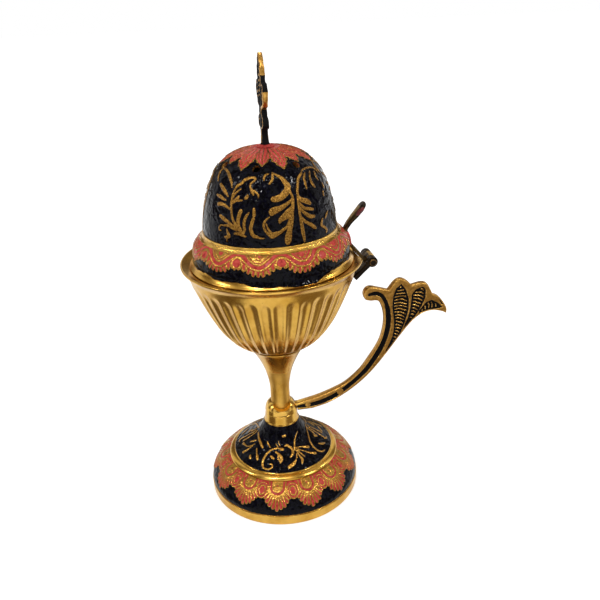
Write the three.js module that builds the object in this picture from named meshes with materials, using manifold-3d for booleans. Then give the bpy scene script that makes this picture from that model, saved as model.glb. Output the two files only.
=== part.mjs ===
// A hand censer in enamelled brass: foot, handle, stem and fluted bowl drawn together by one bolt,
// and a pierced lid that opens on a hinge above the handle. Millimetres, +Z up, handle towards +X.
// Pieces are made round the axis of the bowl; the last lines move that axis off the origin, which is
// the centre of the object's bounding box on the floor.
import * as THREE from "three";
import { mergeVertices } from "three/addons/utils/BufferGeometryUtils.js";
import Module from "manifold-3d";

const wasm = await Module();
wasm.setup();

// Fits, cuts and facets
const gap = 0.3;
const overrun = 3;
const roundSegments = 36;
const smallSegments = 20;
const curveSteps = 2;

// The bolt that draws the stack together, with its washers and nut
const bolt = { radius: 2, headAcross: 7.6, headHeight: 3.2, tail: 1.5 };
const washer = { radius: 5.4, height: 1 };
const nut = { across: 7, height: 3.2 };

// Foot: hollow casting, from the floor up
const foot = {
  radius: 40,
  rimHeight: 5.2,
  rimWall: 3,
  wall: 2.2,
  slopeHeight: 13.2,
  ringRadius: 29.6,
  ringHeight: 2.2,
  shoulderRadius: 26.4,
  shoulderHeight: 1.2,
  domeHeight: 16.4,
  neckRadius: 9.4,
  bandRadius: 8.9,
  bandHeight: 3.4,
  ceilingRadius: 8.2,
  ceilingThickness: 7.6,
};
const footSlopeShares = [[0.07, 0.25], [0.26, 0.515], [0.6, 0.79]];
const footDomeShares = [[0.26, 0.18], [0.52, 0.37], [0.76, 0.56], [0.91, 0.8]];

// Handle: one flat casting with a drilled lump at the foot and a three-petalled head
const handle = { thickness: 3.8, reach: 90.4, rise: 70, armDrop: 0.1 };
const lump = { halfLength: 8.4, halfWidth: 5.4, halfHeight: 5.2, middleHeight: 4, seatHeight: 4.3 };
// Shares of the reach from the axis and of the rise above the lump's foot
const armUnderShares = [[0.19, 0.0], [0.293, 0.035], [0.397, 0.103], [0.492, 0.192], [0.569, 0.29],
  [0.65, 0.42], [0.729, 0.555], [0.796, 0.655], [0.855, 0.707], [0.915, 0.72], [0.971, 0.702],
  [1.0, 0.682]];
const thirdPetalShares = [[1.0, 0.725], [0.979, 0.776], [0.946, 0.829], [0.91, 0.853]];
const secondPetalShares = [[0.897, 0.89], [0.873, 0.943], [0.84, 0.954], [0.808, 0.948],
  [0.784, 0.941]];
const firstPetalShares = [[0.759, 0.976], [0.729, 1.0], [0.7, 0.999], [0.676, 0.976],
  [0.645, 0.925]];
const curlShares = [[0.595, 0.946], [0.546, 0.964], [0.517, 0.955], [0.501, 0.917], [0.511, 0.87],
  [0.542, 0.854]];
const innerEdgeShares = [[0.581, 0.85], [0.601, 0.821], [0.618, 0.759], [0.624, 0.69], [0.62, 0.621],
  [0.604, 0.534], [0.574, 0.454], [0.524, 0.37], [0.475, 0.27], [0.389, 0.186], [0.294, 0.13],
  [0.208, 0.096], [0.1, 0.068]];

// Stem: hollow trumpet that stands in the lump's seat and carries the bowl
const stem = {
  footRadius: 5.2,
  waistRadius: 5.1,
  waistHeight: 12.5,
  topRadius: 14.4,
  flareHeight: 24.5,
  wall: 1.6,
};
const stemFlareShares = [[0.1, 0.245], [0.29, 0.49], [0.57, 0.735], [0.86, 0.925]];

// Bowl: fluted casting with a dished flange that the lid nests in
const bowl = {
  baseRadius: 14,
  throatRadius: 40.8,
  throatHeight: 42.7,
  wall: 2.7,
  floorThickness: 2.6,
  flangeWidth: 3.1,
  flangeRise: 1.9,
  lipThickness: 2.4,
  lipWidth: 0.9,
  dishWidth: 4.1,
  dishDepth: 1.6,
  seatWidth: 3.1,
  seatThickness: 2.4,
};
const bowlWallShares = [[0.224, 0.085], [0.43, 0.2], [0.59, 0.343], [0.73, 0.52], [0.85, 0.696],
  [0.94, 0.848], [1, 1]];
const flute = { count: 40, depth: 1, start: 5, topMargin: 3, roundEnd: 3.4 };
const fluteDepthShares = [0, 0.89, 0.89];

// Lid: pierced dome on a straight band
const lid = {
  seatClearance: 0.5,
  flangeHeight: 3.1,
  flangeLean: 0.8,
  bandSetback: 1,
  bandHeight: 8.4,
  bandLean: 0.4,
  shoulderSetback: 1.8,
  shoulderHeight: 4,
  coveWidth: 4.3,
  coveHeight: 2.8,
  domeHeight: 35.5,
  crownRadius: 6.5,
  wall: 2.2,
  rimWall: 3.2,
};
const domeShares = [[0.028, 0.175], [0.077, 0.344], [0.149, 0.513], [0.258, 0.682], [0.427, 0.837],
  [0.698, 0.949], [1, 1]];
const smokeHole = { count: 7, radius: 1.7, domeShares: [0.447, 0.845], tilt: 0.95, first: 3.473 };

// Finial: flat cast leaf on a threaded stud through the crown
const finial = {
  thickness: 3.2,
  halfWidth: 11.5,
  height: 37.4,
  collarRadius: 4.4,
  collarHeight: 2,
  collarTopRadius: 2.6,
  studRadius: 2,
  studTail: 1.2,
};
// Shares of the half width and height of its lobes on one side, from the root up
const finialStalkShares = [[0.2, 0], [0.15, 0.08], [0.22, 0.17]];
const finialLowLobeShares = [[0.48, 0.18], [0.68, 0.23], [0.64, 0.31], [0.4, 0.34]];
const finialSideLobeShares = [[0.36, 0.4], [0.7, 0.43], [0.96, 0.52], [1, 0.63], [0.84, 0.7],
  [0.58, 0.68]];
const finialTopLobeShares = [[0.5, 0.76], [0.42, 0.87], [0.2, 0.96], [0, 1]];

// Hinge: the leaf is brazed to the bowl, and the lever that lifts the lid is brazed to its band
const hinge = {
  standOff: 4.5,
  drop: 5.9,
  knuckleRadius: 2.6,
  centreLength: 6,
  sideLength: 3.6,
  pinRadius: 1.2,
  headRadius: 1.8,
  headHeight: 0.7,
};
const leaf = { thickness: 2.4, offset: 0.4, slope: 0.82, reach: 16 };
const strap = { thickness: 1.8, drop: 1.6 };
const lever = { padThickness: 2, padWidth: 9, padRise: 7.2, height: 15.5, lean: 7.2, width: 10 };
const notch = { seatMargin: 1.2, sideGap: 0.6 };
// Shares of the lever's lean and height, from its root on the pad
const leverInnerShares = [[-0.28, 0], [-0.2, 0.28], [0.05, 0.57], [0.34, 0.84], [0.6, 1]];
const leverOuterShares = [[0.93, 0.97], [0.94, 0.78], [0.65, 0.5], [0.3, 0.22], [0.08, -0.06]];
// Shares of half the lever's width and of its height, seen from the handle's side
const leverFaceShares = [[0.42, -0.2], [0.36, 0.1], [0.56, 0.38], [1, 0.66], [0.86, 0.86], [0, 1.02]];

// Heights that follow from the stack
const ringBase = foot.rimHeight + foot.slopeHeight;
const shoulderTop = ringBase + foot.ringHeight + foot.shoulderHeight;
const neckBase = shoulderTop + foot.domeHeight;
const footTop = neckBase + foot.bandHeight;
const footCeiling = footTop - foot.ceilingThickness;
const lumpBase = footTop + gap;
const stemBase = lumpBase + lump.seatHeight + gap;
const stemTop = stemBase + stem.waistHeight + stem.flareHeight;
const bowlBase = stemTop + gap;
const bowlFloor = bowlBase + bowl.floorThickness;
const throatZ = bowlBase + bowl.throatHeight;
const lipTop = throatZ + bowl.flangeRise + bowl.lipThickness;
const seatTop = lipTop - bowl.dishDepth;
const lidBase = seatTop + gap;
const bandBase = lidBase + lid.flangeHeight;
const bandTop = bandBase + lid.bandHeight;
const domeBase = bandTop + lid.shoulderHeight + lid.coveHeight;
const crownTop = domeBase + lid.domeHeight;
const crownCeiling = crownTop - lid.wall;

// Radii that follow from the bowl's throat
const rimRadius = bowl.throatRadius + bowl.flangeWidth;
const dishRadius = rimRadius - bowl.lipWidth;
const seatRadius = dishRadius - bowl.dishWidth;
const mouthRadius = seatRadius - bowl.seatWidth;
const lidRadius = seatRadius - lid.seatClearance;
const bandRadius = lidRadius - lid.bandSetback;
const shoulderRadius = bandRadius - lid.shoulderSetback;
const domeRadius = shoulderRadius - lid.coveWidth;

// Places that follow from both
const hingeX = rimRadius + hinge.standOff;
const hingeZ = lipTop - hinge.drop;
const fluteLow = bowlBase + flute.start;
const fluteHigh = throatZ - flute.topMargin;

// A point a share of the way from one corner of an outline to the next
function between([r0, z0], [r1, z1], shares) {
  return shares.map(([u, v]) => [r0 + (r1 - r0) * u, z0 + (z1 - z0) * v]);
}

// A closed mesh as a solid that can be joined and cut
function solid(geometry) {
  const bare = geometry.index ? geometry.toNonIndexed() : geometry.clone();
  bare.deleteAttribute("normal");
  bare.deleteAttribute("uv");
  const merged = mergeVertices(bare, 1e-4);
  const corners = merged.index.array;
  const kept = [];
  for (let i = 0; i < corners.length; i += 3) {
    const [a, b, c] = corners.slice(i, i + 3);
    if (a !== b && b !== c && c !== a) kept.push(a, b, c);
  }
  return new wasm.Manifold(new wasm.Mesh({
    numProp: 3,
    vertProperties: new Float32Array(merged.attributes.position.array),
    triVerts: new Uint32Array(kept),
  }));
}

function geometryOf(body) {
  const mesh = body.getMesh();
  const geometry = new THREE.BufferGeometry();
  geometry.setAttribute("position", new THREE.BufferAttribute(mesh.vertProperties, 3));
  geometry.setIndex(new THREE.BufferAttribute(mesh.triVerts, 1));
  const faceted = geometry.toNonIndexed();
  faceted.computeVertexNormals();
  return faceted;
}

// A turned solid from a counter-clockwise outline of radius and height
function turned(outline, segments = roundSegments) {
  const profile = outline.map(([r, z]) => new THREE.Vector2(r, z));
  const geometry = new THREE.LatheGeometry(profile, segments);
  geometry.rotateX(Math.PI / 2);
  return solid(geometry);
}

function ring(innerRadius, outerRadius, low, high, segments = smallSegments) {
  return turned([[innerRadius, low], [outerRadius, low], [outerRadius, high], [innerRadius, high],
    [innerRadius, low]], segments);
}

function rod(radius, low, high, segments = smallSegments) {
  return turned([[0, low], [radius, low], [radius, high], [0, high]], segments);
}

// A rod or box across the censer, centred on the plane of the handle
function crossRod(radius, halfLength, x, z) {
  const geometry = new THREE.CylinderGeometry(radius, radius, 2 * halfLength, smallSegments);
  return solid(geometry.translate(x, 0, z));
}

function block(lowX, highX, halfWidth, lowZ, highZ) {
  const geometry = new THREE.BoxGeometry(highX - lowX, 2 * halfWidth, highZ - lowZ);
  return solid(geometry.translate((lowX + highX) / 2, 0, (lowZ + highZ) / 2));
}

// A plate of the given width, its outline drawn in the plane of the handle
function plate(shape, width) {
  const geometry = new THREE.ExtrudeGeometry(shape, {
    depth: width, bevelEnabled: false, curveSegments: curveSteps,
  });
  return solid(geometry.translate(0, 0, -width / 2).rotateX(Math.PI / 2));
}

// The same across it, its outline drawn facing the handle
function crossPlate(shape, width) {
  const geometry = new THREE.ExtrudeGeometry(shape, {
    depth: width, bevelEnabled: false, curveSegments: curveSteps,
  });
  return solid(geometry.translate(0, 0, -width / 2).rotateX(Math.PI / 2).rotateZ(Math.PI / 2));
}

function vectors(points) {
  return points.map(([x, y]) => new THREE.Vector2(x, y));
}

function outlineShape(points) {
  return new THREE.Shape(vectors(points));
}

// Foot
function footSolid() {
  const rimTop = [foot.radius, foot.rimHeight];
  const ringLow = [foot.ringRadius, ringBase];
  const shoulder = [foot.shoulderRadius, shoulderTop];
  const neck = [foot.neckRadius, neckBase];
  const innerRim = [foot.radius - foot.rimWall, foot.rimHeight];
  const innerRing = [foot.ringRadius - foot.wall, ringBase - foot.wall];
  const innerShoulder = [foot.shoulderRadius - foot.wall, shoulderTop - foot.wall];
  const innerNeck = [foot.ceilingRadius, footCeiling];
  return turned([
    [innerRim[0], 0], [foot.radius, 0], rimTop,
    ...between(rimTop, ringLow, footSlopeShares), ringLow,
    [foot.ringRadius, ringBase + foot.ringHeight], shoulder,
    ...between(shoulder, neck, footDomeShares), neck,
    [foot.bandRadius, neckBase], [foot.bandRadius, footTop], [bolt.radius + gap, footTop],
    [bolt.radius + gap, footCeiling], innerNeck,
    ...between(innerShoulder, innerNeck, footDomeShares).reverse(), innerShoulder, innerRing,
    ...between(innerRim, innerRing, footSlopeShares).reverse(), innerRim, [innerRim[0], 0],
  ]);
}

// Handle
function handleOutline() {
  const place = (shares) => vectors(between([0, lumpBase], [handle.reach, lumpBase + handle.rise],
    shares));
  const root = new THREE.Vector2(bolt.radius + gap, lumpBase + handle.armDrop);
  const shape = new THREE.Shape();
  shape.moveTo(root.x, root.y);
  const under = place(armUnderShares);
  shape.lineTo(under[0].x, under[0].y + handle.armDrop);
  shape.splineThru(under.slice(1));
  shape.splineThru(place(thirdPetalShares));
  shape.splineThru(place(secondPetalShares));
  shape.splineThru(place(firstPetalShares));
  shape.splineThru(place(curlShares));
  shape.splineThru(place(innerEdgeShares));
  shape.lineTo(root.x, place(innerEdgeShares).at(-1).y);
  return shape;
}

function handleSolid() {
  const ball = new THREE.SphereGeometry(1, smallSegments, smallSegments / 2);
  ball.rotateX(Math.PI / 2);
  ball.scale(lump.halfLength, lump.halfWidth, lump.halfHeight);
  ball.translate(0, 0, lumpBase + lump.middleHeight);
  const below = rod(handle.reach, -overrun, lumpBase);
  const seat = rod(stem.footRadius + gap, lumpBase + lump.seatHeight, stemTop);
  const bore = rod(bolt.radius + gap, 0, stemTop);
  return solid(ball).add(plate(handleOutline(), handle.thickness))
    .subtract(below).subtract(seat).subtract(bore);
}

// Stem
function stemSolid() {
  const waist = [stem.waistRadius, stemBase + stem.waistHeight];
  const top = [stem.topRadius, stemTop];
  const innerWaist = [stem.waistRadius - stem.wall, waist[1]];
  const innerTop = [stem.topRadius - stem.wall, stemTop];
  return turned([
    [innerWaist[0], stemBase], [stem.footRadius, stemBase], waist,
    ...between(waist, top, stemFlareShares), top, innerTop,
    ...between(innerWaist, innerTop, stemFlareShares).reverse(), innerWaist,
    [innerWaist[0], stemBase],
  ]);
}

// Bowl
const bowlFoot = [bowl.baseRadius, bowlBase];
const bowlThroat = [bowl.throatRadius, throatZ];
const bowlOutline = [bowlFoot, ...between(bowlFoot, bowlThroat, bowlWallShares)];

function radiusAt(outline, z) {
  const next = outline.findIndex((point) => point[1] >= z);
  if (next < 1) return outline.at(next)[0];
  const [r0, z0] = outline[next - 1];
  const [r1, z1] = outline[next];
  return r0 + (r1 - r0) * (z - z0) / (z1 - z0);
}

// How deep the flutes are at a height: nothing outside them, and rounded off at both ends
function fluteDepthAt(z) {
  const toEnd = Math.min(z - fluteLow, fluteHigh - z);
  if (toEnd <= 0) return 0;
  const run = Math.min(1, toEnd / flute.roundEnd);
  return flute.depth * Math.sqrt(run * (2 - run));
}

// The bowl's outside down to its axis, with hollow flutes between sharp edges
function flutedCore() {
  const ends = [fluteLow, fluteLow + flute.roundEnd, fluteHigh - flute.roundEnd / 4, fluteHigh];
  const heights = [...bowlOutline.map((point) => point[1]), ...ends].sort((a, b) => a - b);
  const columns = flute.count * fluteDepthShares.length;
  const positions = [];
  for (const z of heights) {
    for (let c = 0; c < columns; c++) {
      const angle = 2 * Math.PI * c / columns;
      const cut = fluteDepthAt(z) * fluteDepthShares[c % fluteDepthShares.length];
      const r = radiusAt(bowlOutline, z) - cut;
      positions.push(r * Math.cos(angle), r * Math.sin(angle), z);
    }
  }
  const low = positions.length / 3;
  positions.push(0, 0, heights[0], 0, 0, heights.at(-1));
  const faces = [];
  for (let c = 0; c < columns; c++) {
    const d = (c + 1) % columns;
    faces.push(low, d, c);
    for (let k = 0; k < heights.length - 1; k++) {
      const a = k * columns;
      faces.push(a + c, a + d, a + d + columns, a + c, a + d + columns, a + c + columns);
    }
    const top = (heights.length - 1) * columns;
    faces.push(low + 1, top + c, top + d);
  }
  const geometry = new THREE.BufferGeometry();
  geometry.setAttribute("position", new THREE.Float32BufferAttribute(positions, 3));
  geometry.setIndex(faces);
  return solid(geometry);
}

function bowlSolid() {
  const lipLow = lipTop - bowl.lipThickness;
  const flangeRoot = bowl.throatRadius - bowl.wall;
  const flange = turned([
    [0, throatZ - bowl.wall], [flangeRoot, throatZ - bowl.wall], bowlThroat, [rimRadius, lipLow],
    [rimRadius, lipTop], [dishRadius, lipTop], [seatRadius, seatTop], [0, seatTop],
  ]);
  const seatUnder = seatTop - bowl.seatThickness;
  const innerFoot = [bowl.baseRadius - bowl.wall, bowlFloor];
  const innerThroat = [flangeRoot, seatUnder - (flangeRoot - mouthRadius)];
  const inside = turned([
    [0, bowlFloor], innerFoot, ...between(innerFoot, innerThroat, bowlWallShares),
    [mouthRadius, seatUnder], [mouthRadius, seatTop + overrun], [0, seatTop + overrun],
  ]);
  const boltBore = rod(bolt.radius + gap, bowlBase - overrun, bowlFloor + overrun);
  const halfNotch = hinge.centreLength / 2 + notch.sideGap;
  const strapNotch = block(seatRadius + notch.seatMargin, rimRadius + overrun, halfNotch,
    throatZ - overrun, lipTop + overrun);
  const keptWall = turned([[0, bowlBase], ...bowlOutline, [0, throatZ]]);
  return flutedCore().add(flange).subtract(strapNotch.subtract(keptWall)).subtract(inside)
    .subtract(boltBore);
}

// Lid
function lidOutline(grow) {
  const bandLow = [bandRadius + grow, bandBase];
  const bandHigh = [bandRadius - lid.bandLean + grow, bandTop];
  const shoulder = [shoulderRadius + grow, bandTop + lid.shoulderHeight];
  const domeFoot = [domeRadius + grow, domeBase];
  const crown = [lid.crownRadius + grow, crownTop + grow];
  return [
    [lidRadius + grow, lidBase - grow],
    [lidRadius - lid.flangeLean + grow, bandBase],
    bandLow, bandHigh, shoulder, domeFoot,
    ...between(domeFoot, crown, domeShares),
  ];
}

function lidSolid() {
  const mouth = lidRadius - lid.rimWall;
  const innerShoulder = [shoulderRadius - lid.wall, bandTop + lid.shoulderHeight - lid.wall / 2];
  const innerDome = [domeRadius - lid.wall, domeBase];
  const innerCrown = [lid.crownRadius, crownCeiling];
  const body = turned([
    [mouth, lidBase], ...lidOutline(0),
    [finial.studRadius + gap, crownTop], [finial.studRadius + gap, crownCeiling],
    ...between(innerDome, innerCrown, domeShares).reverse(), innerDome, innerShoulder,
    [mouth, bandTop], [mouth, lidBase],
  ]);
  const [[holeX, holeZ]] = between([domeRadius, domeBase], [lid.crownRadius, crownTop],
    [smokeHole.domeShares]);
  const holes = [];
  for (let i = 0; i < smokeHole.count; i++) {
    const drill = new THREE.CylinderGeometry(smokeHole.radius, smokeHole.radius, 4 * lid.wall,
      smallSegments / 2);
    drill.rotateX(Math.PI / 2).rotateY(smokeHole.tilt);
    drill.translate(holeX, 0, holeZ);
    drill.rotateZ(smokeHole.first + 2 * Math.PI * i / smokeHole.count);
    holes.push(solid(drill));
  }
  return holes.reduce((left, hole) => left.subtract(hole), body);
}

// Finial
function finialOutline(low, high) {
  const right = [finialStalkShares, finialLowLobeShares, finialSideLobeShares, finialTopLobeShares]
    .map((shares) => between([0, low], [finial.halfWidth, high], shares));
  const left = right.map((lobe) => lobe.map(([y, z]) => [-y, z]).reverse()).reverse();
  // Each spline starts from the point before it, so the root and the tip aren't given twice.
  const root = right[0].shift();
  left[0].shift();
  const shape = new THREE.Shape();
  shape.moveTo(...root);
  for (const lobe of [...right, ...left]) shape.splineThru(vectors(lobe));
  return shape;
}

function finialSolid() {
  const foot = crownTop + gap;
  const tip = foot + finial.collarHeight + finial.height;
  const leafPlate = crossPlate(finialOutline(foot + finial.collarHeight / 2, tip),
    finial.thickness);
  const collar = turned([[0, foot], [finial.collarRadius, foot],
    [finial.collarTopRadius, foot + finial.collarHeight], [0, foot + finial.collarHeight]],
    smallSegments);
  const studLow = crownCeiling - 2 * gap - washer.height - gap - nut.height - finial.studTail;
  const stud = rod(finial.studRadius, studLow, foot + finial.collarHeight / 2);
  return leafPlate.add(collar).add(stud);
}

// Hinge
const pinBore = crossRod(hinge.pinRadius + gap, hinge.centreLength + hinge.sideLength + overrun,
  hingeX, hingeZ);

function leafSolid() {
  const halfLength = hinge.centreLength / 2 + gap + hinge.sideLength;
  const down = [-Math.sin(leaf.slope), -Math.cos(leaf.slope)];
  const outward = [-down[1], down[0]];
  const corner = (along, across) => [
    hingeX + down[0] * along + outward[0] * across,
    hingeZ + down[1] * along + outward[1] * across,
  ];
  const outer = leaf.offset + leaf.thickness / 2;
  const inner = leaf.offset - leaf.thickness / 2;
  const web = plate(outlineShape([corner(0, inner), corner(leaf.reach, inner),
    corner(leaf.reach, outer), corner(0, outer)]), 2 * halfLength);
  const barrel = crossRod(hinge.knuckleRadius, halfLength, hingeX, hingeZ);
  const wallSide = turned([[0, bowlBase], ...bowlOutline.map(([r, z]) => [r + gap, z]),
    [0, throatZ]]);
  const lidKnuckle = crossRod(hinge.knuckleRadius + gap, hinge.centreLength / 2 + gap,
    hingeX, hingeZ);
  return web.add(barrel).subtract(wallSide).subtract(lidKnuckle).subtract(pinBore);
}

function leverSolid() {
  const padInner = bandRadius - lid.wall;
  const padOuter = bandRadius + gap + lever.padThickness;
  const padLow = bandBase + gap;
  const pad = block(padInner, padOuter, lever.padWidth / 2, padLow, padLow + lever.padRise);
  const root = [padOuter, padLow + lever.padRise];
  const tip = [padOuter + lever.lean, root[1] + lever.height];
  const side = plate(outlineShape([...between(root, tip, leverOuterShares).reverse(),
    ...between(root, tip, leverInnerShares).reverse()]), lever.width);
  const half = between([0, root[1]], [lever.width / 2, tip[1]], leverFaceShares);
  const face = crossPlate(outlineShape([...half,
    ...half.slice(0, -1).reverse().map(([y, z]) => [-y, z])]), 2 * hingeX);
  const strapEnd = [hingeX - strap.drop, hingeZ - strap.drop];
  const slope = Math.atan2(padLow + strap.drop - strapEnd[1], padOuter - strapEnd[0]);
  const thick = [strap.thickness * Math.sin(slope), -strap.thickness * Math.cos(slope)];
  const strapRoot = [padInner, strapEnd[1] + (padInner - strapEnd[0]) * Math.tan(slope)];
  const band = plate(outlineShape([strapRoot, strapEnd,
    [strapEnd[0] + thick[0], strapEnd[1] + thick[1]],
    [strapRoot[0] + thick[0], strapRoot[1] + thick[1]]]), hinge.centreLength);
  const knuckle = crossRod(hinge.knuckleRadius, hinge.centreLength / 2, hingeX, hingeZ);
  const lidSide = turned([[0, lidBase - gap], ...lidOutline(gap), [0, crownTop + gap]]);
  return side.intersect(face).add(pad).add(band).add(knuckle).subtract(lidSide).subtract(pinBore);
}

function pinSolid() {
  const halfLength = hinge.centreLength / 2 + hinge.sideLength + 2 * gap;
  const shank = crossRod(hinge.pinRadius, halfLength, 0, 0);
  const head = new THREE.CylinderGeometry(hinge.headRadius, hinge.headRadius, hinge.headHeight,
    smallSegments);
  const reach = halfLength + hinge.headHeight / 2;
  const right = solid(head.clone().translate(0, reach, 0));
  const left = solid(head.clone().translate(0, -reach, 0));
  return shank.add(right).add(left);
}

// Fasteners, made at their own underside and set in place below
function hexPrism(across, low, high) {
  return rod(across / Math.sqrt(3), low, high, 6);
}

function washerSolid(shankRadius) {
  return ring(shankRadius + gap, washer.radius, 0, washer.height);
}

function nutSolid(shankRadius) {
  const hole = rod(shankRadius + gap, -overrun, nut.height + overrun);
  return hexPrism(nut.across, 0, nut.height).subtract(hole);
}

function boltSolid(length) {
  return rod(bolt.radius, -length, bolt.headHeight / 2)
    .add(hexPrism(bolt.headAcross, 0, bolt.headHeight));
}

// Finishes
function finish(color, metalness, roughness) {
  return new THREE.MeshStandardMaterial({ color, metalness, roughness });
}
const finishes = {
  footEnamel: () => finish(0x1c1c26, 0.2, 0.35),
  lidEnamel: () => finish(0x1e1d28, 0.2, 0.35),
  brass: () => finish(0xc99a45, 1, 0.28),
  handle: () => finish(0xb98a3a, 0.9, 0.35),
  aged: () => finish(0x4a3a20, 0.8, 0.5),
  fastener: () => finish(0xa78a55, 1, 0.4),
};

const censer = new THREE.Group();
const lidGroup = new THREE.Group();
censer.add(lidGroup);

function piece(parent, name, body, material, x = 0, z = 0) {
  const mesh = new THREE.Mesh(geometryOf(body), material());
  mesh.name = name;
  mesh.position.set(x, 0, z);
  parent.add(mesh);
}

const footWasherZ = footCeiling - gap - washer.height;
const footNutZ = footWasherZ - gap - nut.height;
const bowlWasherZ = bowlFloor + gap;
const headZ = bowlWasherZ + washer.height + gap;
const finialWasherZ = crownCeiling - gap - washer.height;
const finialNutZ = finialWasherZ - gap - nut.height;

piece(censer, "foot", footSolid(), finishes.footEnamel);
piece(censer, "handle", handleSolid(), finishes.handle);
piece(censer, "stem", stemSolid(), finishes.brass);
piece(censer, "bowl", bowlSolid(), finishes.brass);
piece(censer, "tie_bolt", boltSolid(headZ - footNutZ + bolt.tail), finishes.fastener, 0, headZ);
piece(censer, "bowl_washer", washerSolid(bolt.radius), finishes.fastener, 0, bowlWasherZ);
piece(censer, "foot_washer", washerSolid(bolt.radius), finishes.fastener, 0, footWasherZ);
piece(censer, "foot_nut", nutSolid(bolt.radius), finishes.fastener, 0, footNutZ);
piece(censer, "hinge_leaf", leafSolid(), finishes.aged);
piece(censer, "hinge_pin", pinSolid(), finishes.aged, hingeX, hingeZ);
piece(lidGroup, "lid", lidSolid(), finishes.lidEnamel);
piece(lidGroup, "thumb_lever", leverSolid(), finishes.aged);
piece(lidGroup, "finial", finialSolid(), finishes.handle);
piece(lidGroup, "finial_washer", washerSolid(finial.studRadius), finishes.fastener, 0,
  finialWasherZ);
piece(lidGroup, "finial_nut", nutSolid(finial.studRadius), finishes.fastener, 0, finialNutZ);

// The footprint runs from the bowl's rim on one side to the handle's tip on the other.
const extent = new THREE.Box3().setFromObject(censer);
censer.position.x = -(extent.min.x + extent.max.x) / 2;

export default censer;
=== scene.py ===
"""Looks of the metal censer: enamelled lid and foot, polished bowl and stem, inlaid handle and finial.

Sizes are millimetres about the bowl's axis, +Z up from the floor. Azimuths are degrees from the
handle's side (+X) towards the back (+Y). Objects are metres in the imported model's frame.
"""
import math
from functools import reduce

import bpy
import numpy as np
from mathutils import Matrix, Vector
from mathutils.geometry import delaunay_2d_cdt


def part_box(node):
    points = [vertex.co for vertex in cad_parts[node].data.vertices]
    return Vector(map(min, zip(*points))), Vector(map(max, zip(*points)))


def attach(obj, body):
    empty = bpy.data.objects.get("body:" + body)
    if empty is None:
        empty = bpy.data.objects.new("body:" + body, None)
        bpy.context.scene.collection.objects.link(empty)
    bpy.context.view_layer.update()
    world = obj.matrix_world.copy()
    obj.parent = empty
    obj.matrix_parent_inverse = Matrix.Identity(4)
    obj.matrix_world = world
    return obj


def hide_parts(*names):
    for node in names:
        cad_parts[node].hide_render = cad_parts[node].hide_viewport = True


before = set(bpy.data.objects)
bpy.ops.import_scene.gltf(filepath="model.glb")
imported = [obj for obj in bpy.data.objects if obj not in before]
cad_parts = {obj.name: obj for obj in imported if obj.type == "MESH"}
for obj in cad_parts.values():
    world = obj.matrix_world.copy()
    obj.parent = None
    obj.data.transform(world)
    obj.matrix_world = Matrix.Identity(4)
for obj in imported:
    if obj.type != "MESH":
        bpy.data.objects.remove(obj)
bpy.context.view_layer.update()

MM = 0.001
foot_low, foot_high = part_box("foot")
AXIS_X = (foot_low.x + foot_high.x) / 2
TAU = 2 * math.pi
FAR = 1.6  # a signed distance, in mm, well outside any ornament


# Meshes

def link_object(name, data):
    """Puts a new object into the scene."""
    made = bpy.data.objects.new(name, data)
    bpy.context.scene.collection.objects.link(made)
    return made


def move_points(mesh, points):
    placed = np.asarray(points, float) * MM
    placed[:, 0] += AXIS_X
    mesh.vertices.foreach_set("co", placed.astype(np.float32).ravel())


def new_object(name, points, faces, smooth=True):
    """A mesh object from points in mm about the bowl's axis, and faces of one size."""
    faces = np.asarray(faces, np.int32)
    starts = np.arange(0, faces.size, faces.shape[1], dtype=np.int32)
    mesh = bpy.data.meshes.new(name)
    mesh.vertices.add(len(points))
    move_points(mesh, points)
    mesh.loops.add(faces.size)
    mesh.loops.foreach_set("vertex_index", faces.ravel())
    mesh.polygons.add(len(faces))
    mesh.polygons.foreach_set("loop_start", starts)
    mesh.update(calc_edges=True)
    mesh.validate()
    mesh.polygons.foreach_set("use_smooth", np.full(len(mesh.polygons), smooth))
    return link_object(name, mesh)


def read_vectors(piece, what):
    flat = np.empty(len(piece.data.vertices) * 3, np.float32)
    piece.data.vertices.foreach_get(what, flat)
    return flat.reshape(-1, 3)


def points_of(piece):
    """A piece's points in mm about the bowl's axis."""
    return (read_vectors(piece, "co").astype(float) - (AXIS_X, 0, 0)) / MM


def write(piece, **fields):
    """Numbers on a piece's points, read by its material."""
    blank = np.zeros(len(piece.data.vertices), np.float32)
    for name, values in fields.items():
        layer = piece.data.attributes.new(name, "FLOAT", "POINT")
        layer.data.foreach_set("value", blank + np.asarray(values, np.float32).ravel())


def combine(operation, base, *tools):
    """Joins (UNION) or cuts (DIFFERENCE) a piece with closed pieces, which are used up."""
    for tool in tools:
        step = base.modifiers.new(operation, "BOOLEAN")
        step.operation = operation
        step.solver = "MANIFOLD"
        step.object = tool
        graph = bpy.context.evaluated_depsgraph_get()
        mesh = bpy.data.meshes.new_from_object(base.evaluated_get(graph))
        base.modifiers.clear()
        base.data = mesh
        bpy.data.objects.remove(tool)


def sharpen(piece, degrees):
    """Smooth shading, broken at edges sharper than the given angle."""
    piece.data.polygons.foreach_set("use_smooth", np.full(len(piece.data.polygons), True))
    piece.data.set_sharp_from_angle(angle=math.radians(degrees))


def dress(piece, body, slot, *nodes):
    """Gives a piece its material, its body and the solid that it stands in for."""
    piece.data.materials.clear()
    piece.data.materials.append(MATERIALS[slot])
    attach(piece, body)
    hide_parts(*nodes)


def face_out(piece):
    """Turns a closed piece's faces outwards."""
    mesh = piece.data
    mesh.calc_loop_triangles()
    corners = np.empty(len(mesh.loop_triangles) * 3, np.int32)
    mesh.loop_triangles.foreach_get("vertices", corners)
    p = points_of(piece)[corners.reshape(-1, 3)]
    if np.einsum("ij,ij->", p[:, 0], np.cross(p[:, 1], p[:, 2])) < 0:
        mesh.flip_normals()
    return piece


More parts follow.
